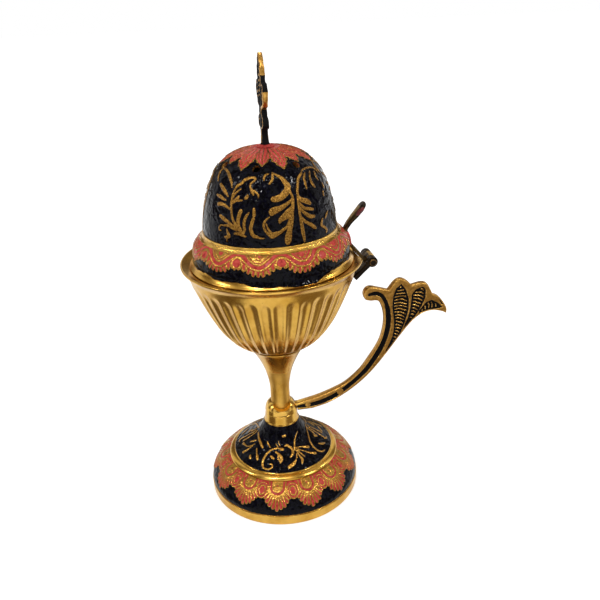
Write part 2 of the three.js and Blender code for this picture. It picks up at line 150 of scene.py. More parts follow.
def closed_grid(rows, columns):
    """Faces of a grid that closes on itself both ways."""
    i, j = np.indices((rows, columns))
    k, m = (i + 1) % rows, (j + 1) % columns
    corners = [i * columns + j, i * columns + m, k * columns + m, k * columns + j]
    return np.stack(corners, -1).reshape(-1, 4)


def capped(name, rings, ends, smooth=True):
    """A closed piece from rings of points, with a middle point at each end."""
    rows, columns = rings.shape[:2]
    quads = closed_grid(rows, columns)[:-columns]
    low = np.insert(quads[:columns, [1, 0]], 2, rows * columns, axis=1)
    high = np.insert(quads[-columns:, [3, 2]], 2, rows * columns + 1, axis=1)
    faces = np.vstack([quads[:, [0, 1, 2]], quads[:, [0, 2, 3]], low, high])
    return face_out(new_object(name, np.vstack([rings.reshape(-1, 3), ends]), faces, smooth))


def turned(r, z, azimuth):
    """Points of the given radii, heights and azimuths."""
    angle = np.radians(azimuth)
    return np.stack(np.broadcast_arrays(r * np.cos(angle), r * np.sin(angle), z), -1)


def round_steps(columns):
    return np.arange(columns) * 360 / columns


def box_piece(xs, ys, zs):
    corners = [(x, y, z) for x in xs for y in ys for z in zs]
    faces = [(0, 1, 3, 2), (4, 6, 7, 5), (0, 4, 5, 1), (2, 3, 7, 6), (0, 2, 6, 4), (1, 5, 7, 3)]
    return new_object("block", corners, faces, smooth=False)


def rod_piece(centre, radius, half, axis=(0, 0, 1), sides=32, turn=0.0):
    """A plain closed rod along an axis, then turned about the bowl's axis."""
    spin = np.array(Vector(axis).to_track_quat("Z", "X").to_matrix())
    about = np.array(Matrix.Rotation(turn, 3, "Z"))
    rings = turned(radius, np.array([[-half], [half]]), round_steps(sides))
    points = np.vstack([rings.reshape(-1, 3), [(0, 0, -half), (0, 0, half)]])
    points = (points @ spin.T + centre) @ about.T
    return capped("rod", points[:-2].reshape(2, sides, 3), points[-2:], smooth=False)


def ball_piece(centre, axes, power, columns=96, rows=48):
    """A closed ellipsoid, squarer with more power."""
    down = np.linspace(-math.pi / 2, math.pi / 2, rows + 1)[1:-1, None]
    ball = turned(np.cos(down), np.sin(down), round_steps(columns))
    ball /= np.sum(np.abs(ball) ** power, axis=-1, keepdims=True) ** (1 / power)
    poles = np.array([(0, 0, -1), (0, 0, 1)])
    return capped("ball", ball * axes + centre, poles * axes + centre)


def threaded_rod(radius, low, high, pitch=0.8, columns=48):
    """A closed rod cut with a fine screw thread that fades in."""
    z = np.linspace(low, high, int((high - low) / pitch * 8) + 1)[:, None]
    share = (z / pitch - np.arange(columns) / columns) % 1
    cut = 0.28 * (1 - np.abs(2 * share - 1)) * np.minimum(1, (z - low) / 0.5 + 0.2)
    return capped("thread", turned(radius - cut, z, round_steps(columns)), [(0, 0, low), (0, 0, high)])


def loft(name, line, widths, depths, columns=28, power=2.6):
    """A bar along a curve in the handle's plane, with rounded sections."""
    side = sideways(np.gradient(line, axis=0))
    angle = np.arange(columns) * TAU / columns
    c, s = (np.sign(v) * np.abs(v) ** (2 / power) for v in (np.cos(angle), np.sin(angle)))
    deep = s * np.broadcast_to(depths, len(line))[:, None]
    wide = c * np.broadcast_to(widths, len(line))[:, None]
    x, z = (line[:, k:k + 1] + side[:, k:k + 1] * deep for k in (0, 1))
    return capped(name, np.stack([x, wide, z], -1), np.insert(line[[0, -1]], 1, 0, axis=1))


# Curves and fields

def spline(points, steps=10):
    """A smooth curve through the points."""
    p = np.asarray(points, float)
    ends = np.vstack([2 * p[0] - p[1], p, 2 * p[-1] - p[-2]])
    t = np.linspace(0, 1, steps, endpoint=False)[:, None]
    spans = []
    for a, b, c, d in zip(ends[:-3], ends[1:-2], ends[2:-1], ends[3:]):
        bend = 2 * a - 5 * b + 4 * c - d + t * (3 * b - a - 3 * c + d)
        spans.append(b + 0.5 * t * ((c - a) + t * bend))
    return np.vstack([*spans, p[-1:]])


def between(low, high, shares):
    """Points at the given shares of the way from a low corner to a high one."""
    low, high = np.asarray(low, float), np.asarray(high, float)
    return low + (high - low) * np.asarray(shares, float)


def along(points):
    """Length run from the first point to each."""
    return np.concatenate([[0], np.cumsum(np.linalg.norm(np.diff(points, axis=0), axis=1))])


def resampled(points, spacing, closed=False):
    points = np.asarray(points, float)
    if closed:
        points = np.vstack([points, points[:1]])
    run = along(points)
    at = np.linspace(0, run[-1], max(2, int(round(run[-1] / spacing))) + 1)
    out = np.stack([np.interp(at, run, column) for column in points.T], 1)
    return out[:-1] if closed else out


def closed_steps(line):
    return np.roll(line, -1, axis=0) - np.roll(line, 1, axis=0)


def sideways(steps):
    """Unit vectors to the left of flat steps."""
    return np.stack([-steps[:, 1], steps[:, 0]], 1) / np.linalg.norm(steps, axis=1)[:, None]


def in_space(flat):
    """Flat points of reach and height, laid in the handle's plane."""
    return np.insert(flat, 1, 0, axis=1)


def least(*fields):
    return reduce(np.minimum, fields)


def most(*fields):
    return reduce(np.maximum, fields)


def share_of(value):
    return np.clip(value, 0, 1)


def ramp(value, width):
    """1 inside a field (below zero), 0 outside, over a band of the given width."""
    t = share_of(0.5 - value / width)
    return t * t * (3 - 2 * t)


def oval(x, y, half_x, half_y, scale):
    """Roughly the distance to an oval, below zero inside."""
    return (np.hypot(x / half_x, y / half_y) - 1) * scale


def value_noise(points, scale, seed):
    """Smooth noise from -1 to 1 at points in mm."""
    place = np.asarray(points, float) / scale + 1000
    cell = np.floor(place).astype(np.int64)
    part = place - cell
    part = part * part * (3 - 2 * part)
    total = 0
    for corner in range(8):
        shift = np.array([corner & 1, corner >> 1 & 1, corner >> 2 & 1])
        key = cell + shift
        mixed = key[..., 0] * 73856093 ^ key[..., 1] * 19349663 ^ key[..., 2] * 83492791
        mixed = (mixed ^ seed * 2654435761) & 0xFFFFFFFF
        for fold, factor in ((15, 2246822519), (13, 3266489917)):
            mixed = (mixed ^ mixed >> fold) * factor & 0xFFFFFFFF
        mixed = mixed ^ mixed >> 16
        weight = np.prod(np.where(shift == 1, part, 1 - part), axis=-1)
        total = total + weight * (mixed / 0x7FFFFFFF - 1)
    return total


def distance_to_line(points, start, step):
    """Distance from points to a straight line, and how far along it each is nearest."""
    t = share_of((points - start) @ step / max(step @ step, 1e-12))
    return np.linalg.norm(points - start - t[:, None] * step, axis=1), t


def signed(points, outline):
    """Distance from flat points to a closed outline, below zero inside."""
    best = np.full(len(points), np.inf)
    inside = np.zeros(len(points), bool)
    for p, q in zip(outline, np.roll(outline, -1, axis=0)):
        best = np.minimum(best, distance_to_line(points, p, q - p)[0])
        if p[1] != q[1]:
            crosses = (p[1] > points[:, 1]) != (q[1] > points[:, 1])
            at = p[0] + (points[:, 1] - p[1]) * (q - p)[0] / (q - p)[1]
            inside ^= crosses & (points[:, 0] < at)
    return np.where(inside, -best, best)


def stroke_field(points, strokes):
    """Signed distance to the nearest of many tapered brush strokes of (x, y, z, half width) rows."""
    field = np.full(len(points), FAR)
    for line in strokes:
        centre, width = line[:, :3], line[:, 3]
        margin = width.max() + FAR
        near = np.all((points > centre.min(0) - margin) & (points < centre.max(0) + margin), axis=1)
        picked = np.flatnonzero(near)
        local, best = points[picked], field[picked]
        for i in range(len(centre) - 1 if len(picked) else 0):
            gap, t = distance_to_line(local, centre[i], centre[i + 1] - centre[i])
            best = np.minimum(best, gap - width[i] - t * (width[i + 1] - width[i]))
        field[picked] = best
    return field


def scatter(index):
    """A number from -1 to 1 for each whole number."""
    return (np.sin(index * 12.9898 + 4.137) * 43758.5453 % 1) * 2 - 1


def hammered(surface, seed):
    """The slight unevenness of brushed enamel."""
    return 0.05 * value_noise(surface, 1.7, seed) + 0.03 * value_noise(surface, 0.9, seed + 1)


# Turned pieces

class Turning:
    """A closed outline of zones, each (name, points, spacing), softened at its corners and cut into
    rows, and the grid turned from it."""

    def __init__(self, zones, columns, soften=0.2):
        fine, bend = 0.04, 0.16
        points, zone, local, spacing = [], [], [], []
        for index, (name, raw, gap) in enumerate(zones):
            following = np.asarray(zones[(index + 1) % len(zones)][1], float)[:1]
            piece = resampled(np.vstack([np.asarray(raw, float), following]), fine)[:-1]
            points.append(piece)
            zone += [name] * len(piece)
            local.append(along(piece))
            spacing.append(np.full(len(piece), gap))
        points, local, spacing = np.vstack(points), np.hstack(local), np.hstack(spacing)
        reach = int(3 * soften / fine)
        weights = np.exp(-0.5 * (np.arange(-reach, reach + 1) * fine / soften) ** 2)
        weights /= weights.sum()
        wrapped = np.vstack([points[-reach:], points, points[:reach]])
        smooth = np.stack([np.convolve(column, weights, "valid") for column in wrapped.T], 1)
        smooth[:, 1] = np.maximum(smooth[:, 1], points[:, 1].min())
        step = closed_steps(smooth)
        heading = np.unwrap(np.arctan2(step[:, 1], step[:, 0]))
        turn = np.abs(np.gradient(heading)) / fine
        turn = np.convolve(np.pad(turn, 8, "wrap"), np.ones(17) / 17, "valid")
        rate = np.maximum(1 / spacing, turn / bend)
        rows = np.concatenate([[0], np.cumsum(rate * fine)])[:-1]
        at = np.linspace(0, rows[-1], int(math.ceil(rows[-1])), endpoint=False)
        picked = np.unique(np.clip(np.searchsorted(rows, at), 0, len(points) - 1))
        self.outline = smooth[picked]
        self.zone = np.array(zone)[picked]
        self.local = local[picked]
        self.run = picked * fine
        self.normal = -sideways(step[picked])
        self.azimuth = round_steps(columns)
        self.shape = (len(picked), columns)
        self.surface = self.grid(0.0)

    def rows(self, *names):
        return np.isin(self.zone, names)

    def band(self, *names):
        """Whether each row is in the named zones, as a column."""
        return self.rows(*names)[:, None]

    def grid(self, push):
        """Points of the grid, pushed out along the outline's normal."""
        push = np.broadcast_to(push, self.shape)
        r, z = (self.outline[:, k:k + 1] + push * self.normal[:, k:k + 1] for k in (0, 1))
        return turned(r, z, self.azimuth)

    def depth_inside(self, *names):
        """Signed run along the outline to the nearest edge of the named zones, below zero in them."""
        chosen = self.rows(*names)
        gaps = np.abs(self.run[:, None] - self.run)
        gaps = np.minimum(gaps, self.run[-1] - gaps)
        to_in = np.where(chosen, gaps, 1e9).min(1)
        to_out = np.where(~chosen, gaps, 1e9).min(1)
        return np.where(chosen, -to_out, to_in)[:, None]

    def make(self, name, push=0.0):
        return new_object(name, self.grid(push).reshape(-1, 3), closed_grid(*self.shape))

    def write(self, piece, **fields):
        write(piece, **{name: np.broadcast_to(field, self.shape) for name, field in fields.items()})

    def strokes(self, zone, *plants):
        """Signed distance over a zone to plants, each of brush strokes and the turns they stand at."""
        rows = self.rows(zone)
        laid = []
        for strokes, turns in plants:
            for stroke in strokes:
                azimuth, run, width = spline(stroke, 5).T
                r, z = (np.interp(run, self.local[rows], column) for column in self.outline[rows].T)
                laid += [np.column_stack([turned(r, z, azimuth + turn), np.maximum(width, 0.12)])
                         for turn in turns]
        surface = self.surface[rows]
        return stroke_field(surface.reshape(-1, 3), laid).reshape(surface.shape[:2])


# Plates cast to a flat outline

def plate(name, outline, half_thickness, place, spacing, extra=()):
    """A casting with two mirrored faces over a closed outline. half_thickness gets flat points and
    their distance from the edge; place turns flat points and a height into x, y, z."""
    edge = resampled(outline, spacing, closed=True)
    following = np.roll(edge, -1, axis=0)
    if np.sum(edge[:, 0] * following[:, 1] - edge[:, 1] * following[:, 0]) < 0:
        edge = edge[::-1]
    inward = sideways(closed_steps(edge))
    low, high = edge.min(0), edge.max(0)
    gx, gy = np.meshgrid(np.arange(low[0], high[0], spacing),
                         np.arange(low[1], high[1], spacing * 0.87))
    gx = gx + (np.arange(len(gx)) % 2)[:, None] * spacing / 2
    chosen = [(np.stack([gx, gy], -1).reshape(-1, 2), -0.95)]
    chosen += [(edge + inward * inset, -0.9 * inset) for inset in (0.14, 0.32, 0.58, 0.86)]
    chosen += [(points, -0.95) for points in extra]
    inner = np.vstack([points[signed(points, edge) < limit] for points, limit in chosen])
    keys = np.unique(np.round(inner / 0.12).astype(int), axis=0, return_index=True)[1]
    flat = np.vstack([edge, inner[np.sort(keys)]])
    ring = [(i, (i + 1) % len(edge)) for i in range(len(edge))]
    made = delaunay_2d_cdt([Vector(p) for p in flat], ring, [], 1, 1e-5)
    flat, faces = np.array([tuple(p) for p in made[0]]), np.array(made[2])
    a, b, c = (flat[faces[:, k]] for k in range(3))
    turn = (b[:, 0] - a[:, 0]) * (c[:, 1] - a[:, 1]) - (b[:, 1] - a[:, 1]) * (c[:, 0] - a[:, 0])
    faces[turn < 0] = faces[turn < 0][:, ::-1]
    height = half_thickness(flat, np.abs(signed(flat, edge)))
    sides = dict.fromkeys(map(tuple, faces[:, [0, 1, 1, 2, 2, 0]].reshape(-1, 2).tolist()))
    border = np.array([(p, q) for p, q in sides if (q, p) not in sides])
    p, q = border.T
    total = len(flat)
    walls = np.stack([q, p, p + total, q, p + total, q + total], 1).reshape(-1, 3)
    return new_object(name, np.vstack([place(flat, height), place(flat, -height)]),
                      np.vstack([faces, faces[:, ::-1] + total, walls]))


def rounded_edge(from_edge, half, radius):
    """Half thickness of a plate whose edge is rounded over."""
    t = share_of(from_edge / radius)
    return half - radius + radius * np.sqrt(share_of(1 - (1 - t) ** 2))


# Materials

class Signal:
    """What a node gives, open to sums."""

    def __init__(self, graph, socket):
        self.graph, self.socket = graph, socket

    def __mul__(self, other):
        return self.graph.math("MULTIPLY", self, other)

    def __add__(self, other):
        return self.graph.math("ADD", self, other)

    def __sub__(self, other):
        return self.graph.math("SUBTRACT", self, other)

    def __rsub__(self, other):
        return self.graph.math("SUBTRACT", other, self)


class Graph:
    """A node tree built one step at a time."""

    def __init__(self, owner, shader):
        owner.use_nodes = True
        self.tree = owner.node_tree
        self.shader = self.tree.nodes[shader]

    def link(self, values, node):
        """Fills a node's inputs with signals or plain values."""
        for name, value in values.items():
            if isinstance(value, Signal):
                self.tree.links.new(value.socket, node.inputs[name])
            else:
                node.inputs[name].default_value = value

    def node(self, kind, output, inputs={}, **settings):
        made = self.tree.nodes.new("ShaderNode" + kind)
        for name, value in settings.items():
            setattr(made, name, value)
        self.link(inputs, made)
        return Signal(self, made.outputs[output])

    def math(self, operation, first, second=0.5):
        return self.node("Math", 0, {0: first, 1: second}, operation=operation)

    def field(self, name):
        """Numbers written on the points."""
        return self.node("Attribute", "Fac", attribute_name=name)

    def place(self):
        return self.node("TexCoord", "Object")

    def noise(self, size, detail=3, roughness=0.55, distortion=0, place=None):
        """Noise whose features are about size mm across, from 0 to 1."""
        return self.node("TexNoise", "Fac", {
            "Scale": 1 / (size * MM), "Detail": detail, "Roughness": roughness,
            "Distortion": distortion, "Vector": place or self.place()})

    def range(self, value, low, high, to_low=0, to_high=1):
        return self.node("MapRange", "Result", {
            "Value": value, "From Min": low, "From Max": high, "To Min": to_low,
            "To Max": to_high}, interpolation_type="SMOOTHSTEP")

    def patch(self, size, low, high, detail=3, roughness=0.55):
        """Soft-edged patches of about size mm."""
        return self.range(self.noise(size, detail, roughness), low, high)

    def mix(self, share, first, second):
        """A mix of two colours."""
        return self.node("Mix", 2, {0: share, 6: first, 7: second}, data_type="RGBA")

    def blend(self, share, first, second):
        """A mix of two numbers."""
        return self.node("Mix", 0, {0: share, 2: first, 3: second}, data_type="FLOAT")

    def inside(self, value, width=0.16):
        """1 where a signed distance in mm is below zero."""
        return self.range(value, width / 2, -width / 2)

    def rings(self, size):
        """Fine lines that run round the bowl's axis."""
        place = self.place()
        x, y, z = (self.node("SeparateXYZ", axis, {0: place}) for axis in "XYZ")
        x = x - AXIS_X
        radius = self.math("SQRT", x * x + y * y)
        return self.noise(size, 2, place=self.node("CombineXYZ", 0, {0: radius, 2: z}))

    def bump(self, height, distance, normal=None):
        inputs = {"Distance": distance * MM, "Height": height}
        if normal:
            inputs["Normal"] = normal
        return self.node("Bump", "Normal", inputs)


def material(paint):
    """A material named after the function that gives its shader's inputs."""
    made = bpy.data.materials.new(paint.__name__)
    graph = Graph(made, "Principled BSDF")
    graph.link(paint(graph), graph.shader)
    return made


def rgb(*colour):
    """A colour as a screen shows it, 0 to 255, turned into light."""
    shares = [v / 255 for v in colour]
    return (*(v / 12.92 if v <= 0.04045 else ((v + 0.055) / 1.055) ** 2.4 for v in shares), 1)


BRASS, BRASS_DEEP, BRASS_TARNISH = rgb(220, 175, 84), rgb(198, 150, 60), rgb(120, 88, 40)
GOLD_PAINT, GOLD_DARK = rgb(220, 168, 78), rgb(122, 84, 32)
GOLD_WORN, GOLD_WORN_DARK = rgb(206, 154, 72), rgb(92, 62, 24)
CAST_BRASS, CAST_BRASS_DEEP = rgb(208, 160, 82), rgb(172, 126, 56)
BOLT_BRASS, BOLT_BRASS_DEEP = rgb(190, 156, 92), rgb(142, 108, 58)
ENAMEL_BLACK, ENAMEL_BLUE = rgb(3, 3, 6), rgb(12, 12, 27)
INLAY_BLACK, INLAY_GREY = rgb(7, 7, 9), rgb(20, 18, 20)
CORAL, CORAL_DEEP, CORAL_PALE = rgb(190, 70, 61), rgb(136, 32, 30), rgb(214, 112, 98)
OLD_RED, OLD_RED_DEEP = rgb(112, 28, 27), rgb(52, 14, 14)
# The darkest aged tone also serves as painted shade, and the rubbed tone partly as painted light, on the
# hinge and lever castings.
AGED, AGED_DARK_AND_SHADE, AGED_WORN = rgb(66, 50, 30), rgb(24, 18, 13), rgb(120, 90, 46)
AGED_EDGE, AGED_RUBBED_AND_LIT = rgb(186, 140, 72), rgb(196, 160, 92)
SOOT, SMOKED, SMOKED_DARK = rgb(40, 34, 28), rgb(84, 60, 32), rgb(24, 20, 17)
WHITE = (1, 1, 1, 1)


def turned_brass(graph):
    """Colour, roughness and fine lines of turned and buffed brass."""
    blotch = graph.patch(3.2, 0.56, 0.78, 6, 0.7)
    lines = graph.rings(0.09)
    colour = graph.mix(graph.patch(9, 0.35, 0.7, 4), BRASS, BRASS_DEEP)
    colour = graph.mix(blotch * 0.25, colour, BRASS_TARNISH)
    return colour, graph.blend(lines, 0.17, 0.28) + blotch * 0.12, lines


def polished_brass(graph):
    """Buffed brass, dulled where matte and sooty where raw."""
    colour, rough, lines = turned_brass(graph)
    raw = graph.field("raw")
    dark = graph.mix(graph.patch(5, 0.3, 0.7, 6, 0.65), BRASS_TARNISH, SOOT)
    rough = rough + graph.field("matte") * graph.blend(graph.noise(0.35, 4, 0.7), 0.14, 0.3)
    return {"Base Color": graph.mix(raw * 0.85, colour, dark), "Metallic": 1,
            "Roughness": graph.blend(raw, rough, 0.5),
            "Normal": graph.bump(graph.noise(2.2), 0.03, graph.bump(lines, 0.012))}


def enamelled_brass(graph):
    """Black and coral enamel between raised gold, from the signed distances stored on the mesh."""
    wander = (graph.noise(0.9, 5, 0.65) - 0.5) * 0.62
    drift = (graph.noise(0.6) - 0.5) * 0.3
    coral = graph.inside(graph.field("coral") + drift, 0.12)
    bare = graph.inside(graph.field("bare") + wander, 0.2)
    ornament = graph.inside(graph.field("gold") + wander) * (1 - coral)
    metal = graph.math("MAXIMUM", ornament, bare)
    raw, worn = graph.field("raw"), graph.field("worn")

    tone = graph.noise(1.1, 5, 0.6)
    red = graph.mix(graph.range(tone, 0.3, 0.52), CORAL_DEEP, CORAL)
    red = graph.mix(graph.range(tone, 0.55, 0.8), red, CORAL_PALE)
    black = graph.mix(graph.patch(1.6, 0.4, 0.75, 6, 0.65), ENAMEL_BLACK, ENAMEL_BLUE)
    streak = graph.noise(0.45, 5, 0.7)
    paint = graph.mix(graph.range(streak, 0.36, 0.62), GOLD_DARK, GOLD_PAINT)
    dull = graph.mix(graph.range(streak, 0.4, 0.66), GOLD_WORN_DARK, GOLD_WORN)
    colour, rough, lines = turned_brass(graph)
    smoked = graph.mix(graph.patch(6, 0.3, 0.7, 6, 0.65), SMOKED, SMOKED_DARK)
    plain = graph.mix(raw * 0.92, colour, smoked)
    gold = graph.mix(bare, graph.mix(worn, paint, dull), plain)

    gloss = graph.range(graph.noise(0.8, 4), 0.3, 0.75, 0.03, 0.07) + coral * 0.16
    paint_rough = graph.range(streak, 0.3, 0.7, 0.4, 0.16) + worn * 0.14
    gold_rough = graph.blend(bare, paint_rough, graph.blend(raw, rough, 0.6))
    ripple = graph.noise(2.6, 2, 0.4, 0.4) * ((1 - bare) + 0.1)
    normal = graph.bump(ornament * (streak + 0.5), 0.12, graph.bump(ripple, 0.45))
    return {"Base Color": graph.mix(metal, graph.mix(coral, black, red), gold), "Metallic": metal,
            "Roughness": graph.blend(metal, gloss, gold_rough), "Specular IOR Level": 0.09,
            "Normal": graph.bump(lines * bare, 0.012, normal)}


def inlaid_brass(graph):
    """Cast brass with black enamel in its sunk fields, and coral where the mesh says so."""
    wander = (graph.noise(0.7, 4) - 0.5) * 0.3
    coral = graph.inside(graph.field("coral") + wander, 0.4)
    covered = graph.math("MAXIMUM", graph.inside(graph.field("inlay") + wander, 0.18), coral)
    tone = graph.noise(1.2, 5, 0.65)
    shine = graph.field("shine")
    metal = graph.mix(graph.range(tone, 0.35, 0.7), CAST_BRASS, CAST_BRASS_DEEP)
    metal = graph.mix(graph.patch(2.6, 0.55, 0.8, 6, 0.7) * 0.4, metal, BRASS_TARNISH)
    metal = graph.mix(shine, metal, BRASS)
    black = graph.mix(graph.range(tone, 0.45, 0.8), INLAY_BLACK, INLAY_GREY)
    red = graph.mix(graph.range(tone, 0.35, 0.6), CORAL_DEEP, CORAL)
    metal_rough = graph.blend(shine, graph.range(graph.noise(0.8, 4), 0.3, 0.7, 0.28, 0.42), 0.2)
    enamel_rough = graph.blend(graph.field("dull"), 0.24, 0.7)
    return {"Base Color": graph.mix(covered, metal, graph.mix(coral, black, red)),
            "Metallic": 1 - covered, "Specular IOR Level": 0.12,
            "Roughness": graph.blend(covered, metal_rough, enamel_rough),
            "Normal": graph.bump(graph.noise(0.5, 4), 0.03, graph.bump(graph.noise(2.4), 0.12))}


def aged_brass(graph):
    """Dull darkened castings of the hinge and lever, worn back to brass on their high spots, with painted
    light on faces turned to the light and painted shade on faces turned away.
    """
    tone = graph.noise(1.4, 6, 0.7)
    colour = graph.mix(graph.patch(0.5, 0.35, 0.65, 5, 0.7), AGED_DARK_AND_SHADE, AGED)
    rubbed = graph.field("rubbed") * graph.range(tone, 0.25, 0.55, 0.5, 1)
    edge = graph.field("edge") * graph.range(tone, 0.3, 0.6)
    # The rubbed share is partly wear and partly painted light; the dark share is painted shade.
    for share, shade in ((graph.range(tone, 0.48, 0.72) * 0.3, AGED_WORN), (rubbed, AGED_RUBBED_AND_LIT),
                         (edge * 0.6, AGED_EDGE), (graph.field("dark"), AGED_DARK_AND_SHADE)):
        colour = graph.mix(share, colour, shade)
    red = graph.mix(graph.range(tone, 0.35, 0.6), OLD_RED_DEEP, OLD_RED)
    bright = graph.mix(graph.range(tone, 0.3, 0.55), CORAL_DEEP, CORAL)
    red = graph.mix(graph.field("bright"), red, bright)
    patch = graph.inside(graph.field("coral"), 0.4)
    normal = graph.bump(graph.noise(0.6, 5, 0.65), 0.09)
    return {"Base Color": graph.mix(patch, colour, red), "Metallic": 0.85 - patch * 0.8,
            "Roughness": graph.range(tone, 0.3, 0.7, 0.55, 0.32),
            "Normal": graph.bump(graph.noise(2.5), 0.2, normal)}


def fastener_brass(graph):
    """Plain machined brass."""
    lines = graph.rings(0.12)
    tone = graph.patch(1.8, 0.4, 0.7, 5, 0.6)
    return {"Base Color": graph.mix(tone, BOLT_BRASS, BOLT_BRASS_DEEP), "Metallic": 1,
            "Roughness": graph.blend(lines, 0.26, 0.46), "Normal": graph.bump(lines, 0.02)}


PAINTS = (polished_brass, enamelled_brass, inlaid_brass, aged_brass, fastener_brass)
MATERIALS = {paint.__name__: material(paint) for paint in PAINTS}


# Camera, as the photograph was taken

CAMERA_DISTANCE, CAMERA_HEIGHT, CAMERA_SIDE = 294.5, 240.25, 7.0
CAMERA_YAW, CAMERA_PITCH, CAMERA_ROLL = 9.459, 24.372, 2.454
LENS, SENSOR = 39, 36


def add_camera():
    side, yaw, pitch, roll = (math.radians(v) for v in (CAMERA_SIDE, CAMERA_YAW, CAMERA_PITCH,
                                                        CAMERA_ROLL))
    forward = Vector((math.sin(yaw) * math.cos(pitch), math.cos(yaw) * math.cos(pitch),
                      -math.sin(pitch)))
    level = Vector((math.cos(yaw), -math.sin(yaw), 0))
    over = level.cross(forward)
    right = level * math.cos(roll) - over * math.sin(roll)
    up = level * math.sin(roll) + over * math.cos(roll)
    place = Vector((AXIS_X - CAMERA_DISTANCE * MM * math.sin(side),
                    -CAMERA_DISTANCE * MM * math.cos(side), CAMERA_HEIGHT * MM))
    data = bpy.data.cameras.new("camera")
    data.lens = LENS
    data.sensor_width = SENSOR
    data.sensor_fit = "HORIZONTAL"
    data.clip_start = 0.01
    camera = link_object("camera", data)
    columns = Matrix((right, up, -forward)).transposed().to_4x4()
    camera.matrix_world = Matrix.Translation(place) @ columns
    bpy.context.scene.camera = camera


# Foot

FOOT_SLOPE = [[.07, .25], [.26, .515], [.6, .79]]
FOOT_DOME = [[.26, .18], [.52, .37], [.76, .56], [.91, .8]]
PALMETTES, PALMETTE_AT = 13, 255.3


def foot_slope():
    return spline([(39.75, 5.35), *between((40, 5.2), (29.6, 18.4), FOOT_SLOPE), (29.2, 18.5)])


def foot_turning():
    dome = [(26.3, 21.75), *between((26.4, 21.8), (9.4, 38.2), FOOT_DOME), (9.45, 38.2)]
    inner_dome = between((24.2, 19.6), (8.2, 34.0), FOOT_DOME)[::-1]
    inner_slope = between((37, 5.2), (27.4, 16.2), FOOT_SLOPE)[::-1]
    return Turning([
        ("rim", [(39.7, 0), (40, 0.3), (40, 4.9), (39.8, 5.25)], 0.8),
        ("under", foot_slope() + np.array([-0.4, -0.3]), 1.2),
        ("ring", spline([(28.95, 18.45), (29.25, 18.7), (29.35, 19.15), (29.1, 19.75),
                         (28.4, 20.4), (27.6, 20.85), (26.95, 21.1)], 6), 0.3),
        ("groove", [(26.7, 21.15), (26.55, 21.15)], 0.3),
        ("dome", spline(dome), 0.42),
        ("neck", [(9.3, 38.4), (9.1, 38.7), (8.9, 39.0), (8.7, 41.0), (8.45, 43.2), (8.3, 43.5)],
         0.4),
        ("top", [(8.1, 43.6), (2.3, 43.6), (2.3, 34.0), (8.2, 34.0)], 2.5),
        ("inner", [*spline([(8.2, 33.9), *inner_dome, (24.2, 19.6)], 4), (27.4, 16.2),
                   *spline([(27.4, 16.1), *inner_slope, (37, 5.2)], 4), (37, 0)], 2.0),
    ], 480)


def border_turning(outside, inset):
    """A closed skin over a turned casting, fine enough for the narrow lines of its border."""
    back = np.asarray(outside)[::-1] + np.asarray(inset)
    return Turning([("outside", outside, 0.27), ("back", back, 2.0)], 960, soften=0.12)


def make_border(name, body, node, turning, gold, coral, bare, fade, seed):
    """An enamelled border in relief, which fades where it has to lie flat."""
    relief = 0.22 * ramp(gold, 0.4) - 0.2 * ramp(coral, 0.3) + hammered(turning.surface, seed)
    border = turning.make(name, np.where(turning.band("outside"), relief * fade, 0))
    turning.write(border, gold=gold, coral=coral, bare=bare, raw=0)
    dress(border, body, "enamelled_brass", node)


def repeated(azimuth, first, count, radius):
    """For ornament that goes round count times: which one, how far from its middle and its end."""
    period = 360 / count
    turn = (azimuth - first) / period
    which = np.round(turn)
    off = (turn - which) * period
    return which, np.radians(off) * radius, np.radians(period / 2 - np.abs(off)) * radius


def fan(x, deep, spread):
    """For feathers that spread from a point: which one, how far across it, how far out."""
    angle, reach = np.degrees(np.arctan2(x, deep)), np.hypot(x, deep)
    which = np.round(angle / spread)
    return which, np.radians(angle - which * spread) * reach, reach


def feather_fields(across, out, end, width, rim):
    """Signed distances to a row of round-ended feathers, and to the same with their gold rims."""
    core = np.hypot(across, np.maximum(out - (end - rim - width), 0)) - width
    return core, core - rim


def foot_palmettes(azimuth, run, radius):
    """Fields of the gold ornament and of the coral enamel on the foot's slope."""
    which, x, aside = repeated(azimuth, PALMETTE_AT, PALMETTES, radius)
    y = run + 5.2
    tongue = np.hypot(x, np.minimum(y - 19.9, 0))
    deep, spread = 20.5 - y, 11.6
    feather, across, reach = fan(x, deep, spread)
    end = np.interp(np.abs(feather) * spread, [0, 12, 23, 35, 46, 58, 70, 90],
                    [12.5, 11.6, 11.2, 10.5, 9.7, 8.8, 8.4, 8.4])
    end = end + 0.28 * scatter(feather + 31 * which)
    core, rimmed = feather_fields(across, reach, end, 0.16 + 0.52 * share_of((reach - 6.6) / 3), 0.36)
    bud = oval(aside, y - 18.0, 1.35, 1.95, 1.5)
    low = least(18.9 - y, bud - 1.75)
    gold = np.where(deep < 0, low, least(rimmed, reach - end + 1.5, low))
    blade = most(core, 4.75 - tongue, 1.9 - bud, 5.6 - reach)
    ribbon = np.abs(tongue - 3.3) - 0.52
    arc = most(np.abs(bud - 0.95) - 0.34, 4.3 - tongue)
    corner = most(20.6 - y, 4.4 - tongue, 1.7 - bud)
    dot = np.hypot(x, y - 20.7) - 0.45
    return gold, least(blade, ribbon, arc, corner, bud, dot)


